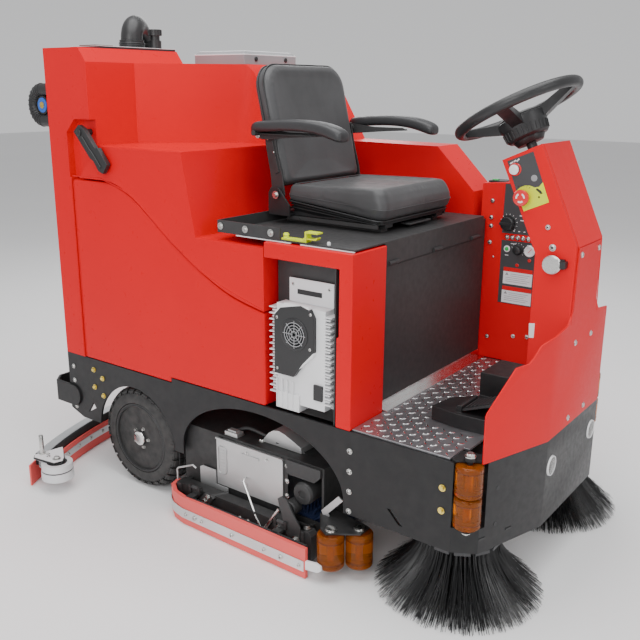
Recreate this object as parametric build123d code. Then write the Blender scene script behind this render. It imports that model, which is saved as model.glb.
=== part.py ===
from build123d import *
import os
from math import cos, radians, sin, sqrt, tan

# Ride-on scrubber-sweeper, in millimetres.
# +X is forward, +Y is the driver's left, +Z is up. The origin is on the floor, in the middle
# of the machine's length and width.

# ---- driving dimensions -------------------------------------------------------------------
HALF_WIDTH = 461.0          # outer face of the side plates and of the tanks
REAR_X = -795.0             # rear face of the tanks and side plates
FRONT_X = 885.0             # front face of the bumper
PLATE = 8.0                 # chassis plate thickness
SHEET = 4.0                 # body sheet thickness
PLATE_BOTTOM = 191.0
PLATE_TOP_REAR = 427.0
PLATE_TOP = 442.0
PLATE_STEP_X = -262.0
SIDE_END_X = 749.0          # front end of the flat side plates
CORNER_X = 810.0            # where the angled front faces begin
CORNER_Y = 426.0
NOSE_Y = 195.0              # half width of the flat front face
PIN_FIT = 0.05              # radial clearance of turning pins
GAP = 0.3                   # clearance between bodies that only pass each other

WHEEL_R = 180.0
WHEEL_X = -447.0
WHEEL_WIDTH = 125.0
WHEEL_FACE_Y = 451.0
RIM_R = 122.0
AXLE_R = 20.0

DRIVE_X = 560.0
DRIVE_R = 125.0
DRIVE_WIDTH = 80.0

BROOM_X = 703.0
BROOM_Y = 308.0
BROOM_R = 236.0
BROOM_DISC_R = 110.0
BROOM_DISC_Z = 168.0

ARCH_X = 97.0               # middle of the deck arch in the side plates
ARCH_Z = 225.0
ARCH_RX = 316.0
ARCH_RZ = 186.0

COLUMN_TOP = 1457.0         # raised top of the rear tank column
TANK_TOP = 1413.0
BODY_TOP = 1157.0
LEDGE_TOP = 912.0
TANK_SEAM_X = -692.0        # split between the two tanks at the rear
TANK_GROOVE = 6.0
TANK_FRONT_X = 131.0

BAY_FRONT_X = 418.0         # front face of the battery bay panel
PLATFORM_Z = 934.0
HEEL_TOP = 490.0            # top of the low box under the pedal
SEAT_Z = 975.0              # underside of the seat cushion
CUSHION_TOP = 1063.0
BACK_LEAN = 13.0
WHEEL_TILT = 27.0
STEER_X = 651.0
STEER_Z = 1287.0
STEER_R = 165.0
STEER_TUBE = 15.0

DECK_ROLLER_R = 39.0
CORNER_ROLLER_R = 36.0
CORNER_ROLLER = (779.0, 436.0)
SQUEEGEE_R = 1362.0         # outer radius of the curved rear blade
SQUEEGEE_BACK = -939.0

os.makedirs("parts", exist_ok=True)
SIDES = (("right", -1), ("left", 1))


# ---- small helpers ------------------------------------------------------------------------
def block(x0, x1, y0, y1, z0, z1):
    """A box between two corners."""
    return Pos((x0 + x1) / 2, (y0 + y1) / 2, (z0 + z1) / 2) * Box(x1 - x0, y1 - y0, z1 - z0)


def side_block(side, x0, x1, y0, y1, z0, z1):
    """A box whose Y values are distances out from the centre line on one side."""
    low, high = sorted((side * y0, side * y1))
    return block(x0, x1, low, high, z0, z1)


def rod(start, end, radius):
    """A round bar between two points."""
    a = Vector(*start)
    b = Vector(*end)
    plane = Plane(origin=a, z_dir=b - a)
    return plane * Pos(0, 0, (b - a).length / 2) * Cylinder(radius, (b - a).length)


def side_profile(points, y0, y1):
    """A plate with its outline in X and Z, from y0 to y1."""
    plane = Plane(origin=(0, y1, 0), x_dir=(1, 0, 0), z_dir=(0, -1, 0))
    return extrude(plane * make_face(Polyline(*points, close=True)), y1 - y0)


def side_face(face, y0, y1):
    """As side_profile, from a ready face drawn with X and Z as its two axes."""
    plane = Plane(origin=(0, y1, 0), x_dir=(1, 0, 0), z_dir=(0, -1, 0))
    return extrude(plane * face, y1 - y0)


def plan_profile(points, z0, z1):
    """A plate with its outline in X and Y, from z0 to z1."""
    return extrude(Pos(0, 0, z0) * make_face(Polyline(*points, close=True)), z1 - z0)


def mirrored(points):
    """The same outline on the other side of the centre line."""
    return [(x, -y) for x, y in points]


def on_side(points, side):
    """An outline drawn for the left, placed on either side."""
    return points if side > 0 else mirrored(points)


def save(name, shape):
    """Write one node, as separate solids where the pieces don't touch."""
    solids = shape.solids()
    export_step(solids[0] if len(solids) == 1 else Compound(children=list(solids)),
                f"parts/{name}.step")


# ---- chassis ------------------------------------------------------------------------------
def corner_roller_space(side):
    """Room round a corner roller, from the lower bracket plate to the top of the plates."""
    x, y = CORNER_ROLLER
    return Pos(x, side * y, 356) * Cylinder(CORNER_ROLLER_R + 4, 188)


def side_plate(side):
    """Laser-cut side plate with its wheel arch, deck arch and cut-outs."""
    outline = [
        (REAR_X, PLATE_TOP_REAR), (REAR_X, 215), (-728, PLATE_BOTTOM), (SIDE_END_X, PLATE_BOTTOM),
        (SIDE_END_X, PLATE_TOP), (PLATE_STEP_X, PLATE_TOP), (PLATE_STEP_X, PLATE_TOP_REAR),
    ]
    low, high = sorted((side * HALF_WIDTH, side * (HALF_WIDTH - PLATE)))
    plate = side_profile(outline, low, high)
    cut_low = low - 5
    cut_high = high + 5
    plate -= rod((WHEEL_X, cut_low, WHEEL_R), (WHEEL_X, cut_high, WHEEL_R), WHEEL_R + 7)
    arch = Pos(ARCH_X, ARCH_Z) * make_face(Ellipse(ARCH_RX, ARCH_RZ).edges())
    plate -= side_face(arch, cut_low, cut_high)
    plate -= block(ARCH_X - ARCH_RX, ARCH_X + ARCH_RX, cut_low, cut_high, 150, ARCH_Z)
    plate -= side_profile([(-668, 262), (-698, 219), (-655, 243)], cut_low, cut_high)
    plate -= side_profile([(556, 253), (568, 253), (606, 214), (594, 214)], cut_low, cut_high)
    return plate - corner_roller_space(side)


def front_bumper():
    """Bent nose plate with its corner plates and the pins of the two corner rollers."""
    outer = [(SIDE_END_X, -HALF_WIDTH), (CORNER_X, -CORNER_Y), (FRONT_X, -NOSE_Y),
             (FRONT_X, NOSE_Y), (CORNER_X, CORNER_Y), (SIDE_END_X, HALF_WIDTH)]
    inner = [(SIDE_END_X, HALF_WIDTH - 7), (CORNER_X - 5, CORNER_Y - 5), (FRONT_X - 6, NOSE_Y),
             (FRONT_X - 6, -NOSE_Y), (CORNER_X - 5, -CORNER_Y + 5), (SIDE_END_X, -HALF_WIDTH + 7)]
    nose = plan_profile(outer + inner, PLATE_BOTTOM, PLATE_TOP)
    nose -= block(SIDE_END_X - 5, CORNER_X + 6, -470, 470, 262, PLATE_TOP + 5)
    for y in (-155, 155):
        nose -= rod((FRONT_X - 20, y, 358), (FRONT_X + 20, y, 358), 30)
    shape = nose
    for _, side in SIDES:
        x, y = CORNER_ROLLER
        plate = [(SIDE_END_X - 12, 452.9), (SIDE_END_X, 452.9), (805, 419), (CORNER_X + 10, 380),
                 (SIDE_END_X - 12, 392)]
        for z in (256, PLATE_TOP):
            shape += plan_profile(on_side(plate, side), z, z + 6)
        shape += rod((x, side * y, 250), (x, side * y, 456), 8)
        shape += rod((x, side * y, 450), (x, side * y, 460), 15)
    return shape


def cross_tube(x, z, half, size):
    """Square tube from side to side."""
    outer = block(x - size / 2, x + size / 2, -half, half, z - size / 2, z + size / 2)
    bore = size / 2 - 4
    return outer - block(x - bore, x + bore, -half - 1, half + 1, z - bore, z + bore)


def chassis_frame():
    """Welded inner frame: rails, cross tubes, rear axle, squeegee hangers and turret plate."""
    inside = HALF_WIDTH - PLATE
    frame = cross_tube(-765, 398, inside, 50)
    frame += cross_tube(-150, 402, inside, 50)
    for side in (-1, 1):
        frame += side_block(side, -740, 742, 240, 288, 379, 427)
        frame += side_block(side, WHEEL_X - 30, WHEEL_X + 30, 262, 274, 150, 379)
        frame += rod((WHEEL_X, side * 200, WHEEL_R), (WHEEL_X, side * 446, WHEEL_R), AXLE_R)
        frame += side_block(side, -665, -615, 128, 138, 205, 379)
        frame += rod((575, side * 338, 215), (575, side * 338, 442), 12)
        frame += side_block(side, 555, 595, 288, 350, 405, 427)
    frame += block(-665, -615, -240, 240, 379, 399)
    frame += block(WHEEL_X - 24, WHEEL_X + 24, -262, 262, WHEEL_R - 24, WHEEL_R + 24)
    frame += block(440, 700, -240, 240, 379, 391)
    frame += block(35, 85, -240, 240, 403, 427)
    frame += rod((60, 0, 328), (60, 0, 403), 24)
    for side in (-1, 1):
        frame += rod((-640, side * 128, 230), (-640, side * 96, 230), 12)
    frame -= rod((60, 0, 300), (60, 0, 421), 10 + PIN_FIT)
    frame -= rod((DRIVE_X, 0, 370), (DRIVE_X, 0, 400), 90 + PIN_FIT)
    return frame


def rear_bumper_guard():
    """U of flat bar round the back of the machine, bolted to the side plates."""
    outer = HALF_WIDTH + PLATE
    half = [(-772, outer), (-864, outer), (-899, outer - 38)]
    back = [(x, -y) for x, y in reversed(half)]
    inner = [(-772, -HALF_WIDTH), (-860, -HALF_WIDTH), (-891, -HALF_WIDTH + 33),
             (-891, HALF_WIDTH - 33), (-860, HALF_WIDTH), (-772, HALF_WIDTH)]
    guard = plan_profile(half + back + inner, 229, 307)
    for side in (-1, 1):
        guard += rod((-772, side * HALF_WIDTH, 268), (-772, side * outer, 268), 39)
    return guard


def floor_plate():
    """Footwell plate between the battery bay, the left control box and the front."""
    outline = [(434, -452), (732, -452), (732, -376), (747, -376), (747, 336), (424, 336),
               (424, -290), (434, -290)]
    return plan_profile(outline, PLATE_TOP, PLATE_TOP + 6)


def frame_bolts():
    """Button heads on the side plates and on the front sheet."""
    heads = []
    spots = [(433, z) for z in (385, 324, 263, 203)] + [(-780, z) for z in (390, 350)]
    spots += [(719, 365), (719, 301), (-652, 388), (-607, 365), (-652, 324), (-607, 301)]
    for side in (-1, 1):
        for x, z in spots:
            face = side * HALF_WIDTH
            heads.append(rod((x, face, z), (x, face + side * 5, z), 9))
    for y, z in ((-60, 681), (60, 681), (-60, 465), (60, 465), (-68, 925), (68, 925)):
        heads.append(rod((FRONT_X, y, z), (FRONT_X + 5, y, z), 9))
    return Compound(children=heads)


def headlamps():
    """Two round lamps let into the nose plate."""
    lamps = []
    for y in (-155, 155):
        lamp = rod((FRONT_X - 26, y, 358), (FRONT_X - 1, y, 358), 29.9)
        lamp += rod((FRONT_X - 1, y, 358), (FRONT_X + 4, y, 358), 27)
        lamps.append(lamp)
    return Compound(children=lamps)


# ---- front body ---------------------------------------------------------------------------
def front_wrap():
    """Red sheet over the nose: a flat front with a raised neck and two angled wings."""
    front = [(-NOSE_Y, 442), (NOSE_Y, 442), (NOSE_Y, 733), (118, 743), (90, 775), (84, 945),
             (-84, 945), (-90, 775), (-118, 743), (-NOSE_Y, 733)]
    plane = Plane(origin=(FRONT_X - SHEET, 0, 0), x_dir=(0, 1, 0), z_dir=(1, 0, 0))
    wrap = extrude(plane * make_face(Polyline(*front, close=True)), SHEET)
    wing_length = sqrt((FRONT_X - CORNER_X) ** 2 + (CORNER_Y - NOSE_Y) ** 2)
    wing = [(0, 442), (wing_length, 442), (wing_length, 733), (188, 718), (162, 690), (146, 678),
            (98, 676), (4, 578), (0, 570)]
    for side in (-1, 1):
        along = Vector(FRONT_X - CORNER_X, -side * (CORNER_Y - NOSE_Y), 0).normalized()
        start = Vector(CORNER_X, side * CORNER_Y, 0)
        plane = Plane(origin=start, x_dir=along, z_dir=Vector(along.Y, -along.X, 0))
        wrap += extrude(plane * make_face(Polyline(*wing, close=True)), side * SHEET)
    return wrap


def steering_column():
    """Sheet box that stands behind the neck and leans back towards the driver."""
    back = FRONT_X - SHEET
    outline = [(771, 448), (771, 920), (660, 1158), (766, 1205), (back, 951), (back, 448)]
    wall = 4.0
    inner = [(771 + wall, 440), (771 + wall, 921), (665.5, 1156), (764, 1199.5),
             (back - wall, 950), (back - wall, 440)]
    column = side_profile(outline, -100, 100)
    column -= side_profile(inner, -100 + wall, 100 - wall)
    lean = radians(WHEEL_TILT)
    down = (STEER_X + 150 * sin(lean), 0, STEER_Z - 150 * cos(lean))
    column -= rod((STEER_X, 0, STEER_Z), down, 24)
    for x, z, radius in ((699, 1136, 8), (727, 1065, 8)):
        column -= rod((x, -110, z), (x, -90, z), radius + PIN_FIT)
    return column


def control_box():
    """Red sheet box beside the footwell that carries the switches."""
    outline = [(399, 448), (399, 1041), (596, 1057), (602, 1050), (602, 448)]
    inner = [(403, 440), (403, 1037), (598, 1053), (598, 440)]
    box = side_profile(outline, 342, HALF_WIDTH)
    box -= side_profile(inner, 346, HALF_WIDTH - SHEET)
    return box - rod((499, 335, 918), (499, 350, 918), 6 + PIN_FIT)


def wheel_housing():
    """Black box ahead of the driver's feet, with the low heel box of the pedal beside it."""
    cover = block(640, 770.7, -107, 33, 448, 560)
    cover -= block(644, 765, -103, 29, 440, 556)
    heel = [(571, -262), (583, -172), (640, -114), (640, -106), (747, -106), (747, -271), (653, -276)]
    cover += plan_profile(heel, 448, HEEL_TOP)
    for y in (-262.5, -167.5):
        cover += block(647, 663, y, y + 4, HEEL_TOP - 2, HEEL_TOP + 20)
    return cover


# ---- tanks --------------------------------------------------------------------------------
def groove_points(rise):
    """The split line between the two tanks, from the rear to the front, in X and Z."""
    line = [(-540, 1045), (-400, 1001), (-240, 885), (-80, 789), (TANK_FRONT_X, 723)]
    return [(x, z + rise) for x, z in line]


def solution_tank():
    """Lower front tank for clean water, hollow, with the curved split line as its top."""
    points = groove_points(0)
    rear = TANK_SEAM_X + TANK_GROOVE / 2
    top = Spline(*points, tangents=[(1, 0), (1, -0.18)])
    edges = [top]
    edges += Polyline(points[-1], (TANK_FRONT_X, 442), (PLATE_STEP_X, 442), (PLATE_STEP_X, 427),
                      (rear, 427), (rear, points[0][1]), points[0]).edges()
    tank = side_face(make_face(edges), -HALF_WIDTH, HALF_WIDTH)
    hollow = [(-640, 475), (-640, 1000), (-540, 1000), (-250, 830), (60, 690), (100, 660),
              (100, 475)]
    return tank - side_profile(hollow, -430, 430)


def recovery_tank():
    """Rear column, mid body and upper block for dirty water, with a mouth under the lid."""
    rear_front = TANK_SEAM_X - TANK_GROOVE / 2
    points = groove_points(TANK_GROOVE)
    top = Spline(*points, tangents=[(1, 0), (1, -0.18)])
    edges = [top]
    edges += Polyline(points[-1], (TANK_FRONT_X, LEDGE_TOP), (-131, LEDGE_TOP), (-181, BODY_TOP),
                      (-584, BODY_TOP), (-584, TANK_TOP), (REAR_X, TANK_TOP), (REAR_X, 427),
                      (rear_front, 427), (rear_front, points[0][1]), points[0]).edges()
    tank = side_face(make_face(edges), -HALF_WIDTH, HALF_WIDTH)
    crown = [(REAR_X, TANK_TOP), (-584, TANK_TOP), (-617, COLUMN_TOP), (REAR_X, COLUMN_TOP)]
    tank += side_profile(crown, -HALF_WIDTH, -40)
    upper = [(-600, 1100), (-600, TANK_TOP), (-320, TANK_TOP), (-292, 1388), (-150, BODY_TOP),
             (-181, 1100)]
    head = side_profile(upper, -281, HALF_WIDTH)
    head -= plan_profile([(-584, -265), (-354, -35), (-318, -8), (-270, 0), (0, 0), (0, -300),
                          (-584, -300)], 1050, 1450)
    tank += head
    arm = [(-190, LEDGE_TOP), (-170, BODY_TOP), (236, BODY_TOP - 4), (378, 1013), (382, LEDGE_TOP)]
    tank += side_profile(arm, 320, HALF_WIDTH)
    recess = [(-703, 1051), (-703, 1196), (-660, 1238), (-570, 1238), (-570, 1184), (-549, 1157),
              (-656, 1051)]
    tank -= side_profile(recess, -HALF_WIDTH - 5, -436)
    tank -= rod((-612, -450, 1198), (-612, -414, 1198), 10 + PIN_FIT)
    tank -= block(-690, -360, 20, 420, 1075, TANK_TOP - 12)
    tank -= block(-545, -375, 40, 260, TANK_TOP - 20, TANK_TOP + 5)
    tank -= block(-640, -200, -400, 20, 1075, BODY_TOP - 12)
    return tank


def tank_lid():
    """Hinged lid over the recovery tank mouth."""
    lid = block(-578, -345, 10, 290, TANK_TOP + 0.5, TANK_TOP + 44)
    lid = chamfer(lid.faces().sort_by(Axis.Z)[-1].edges(), 10)
    for y in (70, 230):
        lid += rod((-583, y - 30, TANK_TOP + 10), (-583, y + 30, TANK_TOP + 10), 8)
    return lid


def vacuum_elbow():
    """Vacuum intake: a top plate, a hose bend over it and a vented cap beside it."""
    shape = block(-765, -618, -373, -45, COLUMN_TOP, COLUMN_TOP + 6)
    top = COLUMN_TOP + 6
    legs = (Vector(-675, -190, 0), Vector(-722, -105, 0))
    middle = (legs[0] + legs[1]) / 2
    across = legs[1] - legs[0]
    pipe = 36
    bend_z = top + 26
    upright = Plane(origin=(middle.X, middle.Y, bend_z), x_dir=across,
                    z_dir=across.cross(Vector(0, 0, 1)))
    shape += upright * Torus(across.length / 2, pipe, major_angle=180, align=None)
    for leg in legs:
        shape += Pos(leg.X, leg.Y, top + 11) * Cylinder(pipe + 5, 22)
        shape += Pos(leg.X, leg.Y, top + 13) * Cylinder(pipe, 26)
    cap_x, cap_y = -641, -115
    shape += Pos(cap_x, cap_y, top + 14) * Cylinder(21, 28)
    shape += Pos(cap_x, cap_y, top + 36) * Cylinder(16, 16)
    shape += Pos(cap_x, cap_y, top + 54) * Cylinder(22, 20)
    return shape


def drain_hose():
    """Short drain hose that leaves the rear face, turns and plugs back in below."""
    y = -438.0
    rear = Line((REAR_X, y, 1328), (-845, y, 1328))
    path = Wire([rear, ThreePointArc((-845, y, 1328), (-895, y, 1278), (-845, y, 1228)),
                 Line((-845, y, 1228), (REAR_X, y, 1228))])
    section = Plane(origin=(REAR_X, y, 1328), z_dir=(-1, 0, 0)) * Circle(20)
    return sweep(section, path)


# ---- battery bay and seat -----------------------------------------------------------------
def battery_covers():
    """Red moulded pillar and ledge round the charger niche, and the flat cover opposite."""
    shape = block(TANK_FRONT_X + 1, 432, -HALF_WIDTH, -405, 886, 930)
    shape += block(389, 432, -HALF_WIDTH, -296, 442, 930)
    shape += block(382, 392, -HALF_WIDTH, -405, 442, 700)
    return shape + block(TANK_FRONT_X + 1, 398, 440, HALF_WIDTH, 442, LEDGE_TOP - 1)


def battery_box():
    """Folded battery bay: tray, front panel and the two walls of the charger niche."""
    front = block(BAY_FRONT_X - 4, BAY_FRONT_X, -295.5, 338, 448, 926)
    tray = block(137, BAY_FRONT_X - 4, -400, 338, 427, 433)
    niche_back = block(137, 388, -404, -400, 427, 926)
    niche_side = block(372, 376, -455, -404, 442, 885.5)
    return front + tray + niche_back + niche_side


def battery_pack():
    """Four traction batteries side by side with their terminals."""
    cells = []
    for i in range(4):
        y = -392 + i * 180
        cell = block(141, 385, y, y + 172, 433, 735)
        for x in (170, 356):
            cell += Pos(x, y + 86, 744) * Cylinder(9, 18)
        cells.append(cell)
    return Compound(children=cells)


def charger():
    """Finned battery charger in its niche, with a folded flange at the top."""
    body = block(166, 336, -446, -404, 470, 760)
    body += block(190, 336, -410, -404, 760, 826)
    body += block(166, 250, -452, -404, 449, 500)
    for i in range(14):
        z = 500 + i * 18
        body += block(150, 352, -446, -410, z, z + 5)
    cover = [(168, 548), (168, 735), (205, 768), (286, 768), (305, 736), (305, 630), (258, 585)]
    body += side_profile(cover, -460, -446)
    return body


def seat_platform():
    """Tray that carries the seat and tips forward for the batteries."""
    tray = block(-60, 424, -440, 311, PLATFORM_Z, PLATFORM_Z + 4)
    tray += block(420, 424, -294, 311, 872, PLATFORM_Z)
    tray += block(-60, -56, -440, 311, PLATFORM_Z, 970)
    tray += block(-60, 174, -440, -436, PLATFORM_Z, 970)
    for y in (-150, 150):
        tray += block(-20, 330, y - 16, y + 16, PLATFORM_Z + 4, PLATFORM_Z + 16)
    for y in (-250, 0, 250):
        tray += rod((426, y - 25, 876), (426, y + 25, 876), 6)
    return tray


def seat_latch():
    """Folded yellow latch that holds the platform down."""
    latch = block(176, 262, -436, -412, PLATFORM_Z + 4.3, PLATFORM_Z + 9)
    latch += block(257, 262, -436, -412, PLATFORM_Z + 9, 968)
    latch += block(257, 300, -436, -412, 964, 968)
    latch += rod((184, -424, PLATFORM_Z + 9), (184, -424, PLATFORM_Z + 16), 8)
    return latch


def seat_frame():
    """Sliding seat pan with its side brackets."""
    z = PLATFORM_Z + 16
    frame = block(8, 345, -192, 192, z + 13, SEAT_Z)
    for y in (-150, 150):
        frame += block(0, 345, y - 20, y + 20, z + GAP, z + 13)
    frame += block(-46, 30, -226, 226, z + 13, z + 18)
    for side in (-1, 1):
        bracket = side_profile([(-46, z + 13), (36, z + 13), (36, 995), (-8, 1046), (-36, 1046),
                                (-46, 1030)], *sorted((side * 220, side * 226)))
        bracket += rod((-22, side * 212, 1026), (-22, side * 226, 1026), 8)
        frame += bracket
    return frame


def seat_cushion():
    """Plain closed form of the seat cushion."""
    outline = [(14, SEAT_Z), (345, SEAT_Z), (357, 990), (357, 1040), (330, CUSHION_TOP),
               (200, 1050), (60, 1052), (14, CUSHION_TOP)]
    return side_profile(outline, -208, 208)


def back_point(along, out):
    """A point of the backrest: along it from its lower front edge, and out behind it."""
    lean = radians(BACK_LEAN)
    return (7 - along * sin(lean) - out * cos(lean), 1066 + along * cos(lean) - out * sin(lean))


def seat_backrest():
    """Plain closed form of the backrest with its two side bolt ears."""
    outline = [back_point(0, 0), back_point(355, 0), back_point(355, 62), back_point(20, 62),
               back_point(0, 40)]
    back = side_profile(outline, -205, 205)
    upper = [e for e in back.edges().filter_by(Axis.Y) if e.center().Z > 1380]
    back = fillet(upper, 20)
    for side in (-1, 1):
        ear = side_profile([(-40, 1012), (-6, 1012), (0, 1080), (-30, 1180), (-66, 1180),
                            (-44, 1080)], *sorted((side * 205, side * 211)))
        ear -= rod((-22, side * 200, 1026), (-22, side * 220, 1026), 8 + PIN_FIT)
        back += ear
        pivot = (-56, side * 205, 1209)
        back += rod(pivot, (-56, side * 228, 1209), 12)
        back += rod((-56, side * 228, 1209), (-56, side * 282, 1209), 8)
    return back


def armrest(side):
    """Padded arm that flips up on its pivot."""
    arm = block(-78, 262, -27, 27, 1205, 1238)
    vertical = [e for e in arm.edges().filter_by(Axis.Z) if e.center().X > 0]
    arm = fillet(vertical, 24)
    arm = fillet(arm.edges().group_by(Axis.Z)[-1], 9)
    arm = Pos(0, side * 258, 0) * arm
    return arm - rod((-56, side * 228, 1209), (-56, side * 290, 1209), 8 + PIN_FIT)


# ---- controls -----------------------------------------------------------------------------
def steering_wheel():
    """Four-spoke wheel on a hub and shaft that enter the column."""
    rim = Torus(STEER_R, STEER_TUBE)
    hub = Pos(0, 0, -38) * Cone(50, 62, 34) + Pos(0, 0, -62) * Cylinder(45, 26)
    shaft = Pos(0, 0, -104) * Cylinder(14, 76)
    wheel = rim + hub + shaft
    for angle in (0, 90, 180, 270):
        spoke = side_profile([(40, -46), (58, -50), (STEER_R - 2, -9), (STEER_R + 2, 4),
                              (STEER_R - 12, 6), (44, -24)], -17, 17)
        wheel += Rot(0, 0, angle + 8) * spoke
    return Pos(STEER_X, 0, STEER_Z) * Rot(0, -WHEEL_TILT, 0) * wheel


def push_button(x, y, z, cap, stem, depth):
    """Round push button on the right face of the column, pressed towards +Y."""
    button = rod((x, y - depth - 6, z), (x, y - 6, z), cap)
    return button + rod((x, y - 6, z), (x, y + 20, z), stem)


def selector_knob():
    """Round selector on the control box."""
    knob = rod((499, 322, 918), (499, 341.5, 918), 22)
    knob += block(477, 521, 314, 322, 914, 922)
    return knob + rod((499, 341.5, 918), (499, 356, 918), 6)


def accelerator_pedal():
    """Foot pedal hinged at its heel between two ears on the low box."""
    pedal = side_profile([(657, 498), (663, 494), (780, 538), (778, 546)], -258, -168)
    pedal += rod((655, -258, 502), (655, -168, 502), 7)
    return pedal


def squeegee_lever():
    """Stepped black lever in the side recess, on its pivot pin."""
    arm = [(-640, 1200), (-614, 1222), (-592, 1212), (-540, 1152), (-528, 1154), (-486, 1104),
           (-510, 1074), (-530, 1082), (-552, 1112), (-568, 1120)]
    lever = side_profile(arm, -482, -466)
    lever += rod((-612, -466, 1198), (-612, -418, 1198), 10)
    return lever


# ---- wheels -------------------------------------------------------------------------------
def rear_tyre(side):
    """Solid tyre with a chamfered tread."""
    face = side * WHEEL_FACE_Y
    inner = side * (WHEEL_FACE_Y - WHEEL_WIDTH)
    tyre = rod((WHEEL_X, inner, WHEEL_R), (WHEEL_X, face, WHEEL_R), WHEEL_R)
    rims = tyre.edges().filter_by(GeomType.CIRCLE)
    tyre = chamfer(rims, 10)
    return tyre - rod((WHEEL_X, inner - side * 5, WHEEL_R), (WHEEL_X, face + side * 5, WHEEL_R), RIM_R)


def rear_rim(side):
    """Deep-dished rim with its hub and cap."""
    inner = side * (WHEEL_FACE_Y - WHEEL_WIDTH)
    face = side * (WHEEL_FACE_Y - 3)
    centre = WHEEL_R
    rim = rod((WHEEL_X, inner, centre), (WHEEL_X, face, centre), RIM_R)
    rim -= rod((WHEEL_X, side * 372, centre), (WHEEL_X, face + side * 5, centre), RIM_R - 10)
    rim -= rod((WHEEL_X, inner - side, centre), (WHEEL_X, side * 360, centre), RIM_R - 10)
    rim += rod((WHEEL_X, side * 345, centre), (WHEEL_X, side * 436, centre), 42)
    rim += rod((WHEEL_X, side * 436, centre), (WHEEL_X, side * 450, centre), 24)
    for i in range(5):
        angle = radians(90 + 72 * i)
        x = WHEEL_X + 66 * sin(angle)
        z = centre + 66 * cos(angle)
        rim += rod((x, side * 372, z), (x, side * 384, z), 9)
    return rim - rod((WHEEL_X, inner - side * 5, centre), (WHEEL_X, side * 447, centre), AXLE_R + PIN_FIT)


def drive_fork():
    """Steered fork with its turret neck, wheel pin and drive motor."""
    fork = rod((DRIVE_X, 0, 330), (DRIVE_X, 0, 440), 90)
    fork += block(DRIVE_X - 70, DRIVE_X + 70, -66, 66, 312, 330)
    for side in (-1, 1):
        fork += side_block(side, DRIVE_X - 40, DRIVE_X + 40, 54, 66, DRIVE_R - 20, 312)
    fork += rod((DRIVE_X, -60, DRIVE_R), (DRIVE_X, 60, DRIVE_R), 15)
    return fork


def drive_wheel():
    """Front drive wheel with a bonded tread."""
    wheel = rod((DRIVE_X, -DRIVE_WIDTH / 2, DRIVE_R), (DRIVE_X, DRIVE_WIDTH / 2, DRIVE_R), DRIVE_R)
    wheel = chamfer(wheel.edges().filter_by(GeomType.CIRCLE), 8)
    return wheel - rod((DRIVE_X, -60, DRIVE_R), (DRIVE_X, 60, DRIVE_R), 15 + PIN_FIT)


# ---- side brooms --------------------------------------------------------------------------
def broom_arm(side):
    """Lifting bracket with the broom's gear motor and its output shaft."""
    y = side * BROOM_Y
    post = side * 338
    arm = rod((BROOM_X, y, 196), (BROOM_X, y, 290), 46)
    arm += rod((575, post, 250), (575, post, 320), 22)
    arm += plan_profile([(575, post - 20), (BROOM_X, y - 24), (BROOM_X, y + 24), (575, post + 20)],
                        272, 282)
    arm += rod((BROOM_X, y, 176), (BROOM_X, y, 196), 14)
    return arm - rod((575, post, 240), (575, post, 330), 12 + PIN_FIT)


def broom(side):
    """Disc with its flared ring of bristles, as one plain closed form."""
    y = side * BROOM_Y
    bristles = Pos(BROOM_X, y, 1 + (BROOM_DISC_Z - 1) / 2) * Cone(
        BROOM_R, BROOM_DISC_R, BROOM_DISC_Z - 1)
    bristles -= Pos(BROOM_X, y, 59) * Cone(BROOM_R - 60, 40, 118)
    disc = Pos(BROOM_X, y, BROOM_DISC_Z + 9) * Cylinder(BROOM_DISC_R, 18)
    shape = bristles + disc
    return shape - rod((BROOM_X, y, 170), (BROOM_X, y, 200), 14 + PIN_FIT)


def corner_roller(side):
    """Two stacked bumper rollers on one pin."""
    x, y = CORNER_ROLLER
    rollers = []
    for z0, z1 in ((264, 351), (352, 440)):
        roller = rod((x, side * y, z0), (x, side * y, z1), CORNER_ROLLER_R)
        roller = chamfer(roller.edges().filter_by(GeomType.CIRCLE), 5)
        rollers.append(roller - rod((x, side * y, 250), (x, side * y, 450), 8 + PIN_FIT))
    return Compound(children=rollers)


# ---- scrub deck ---------------------------------------------------------------------------
HOPPER = (-70.0, 165.0, 120.0, 278.0)      # x0, x1, z0, z1 of the debris tray
ROLL_R = 72.0
ROLL_Z = 74.0
ROLL_XS = {"rear": -150.0, "front": 245.0}
SKIRT_HINGES = (-140.0, 210.0)
ROLLER_SPOTS = {"rear": (402.0, 503.0), "front": (462.0, 448.0)}


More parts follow.
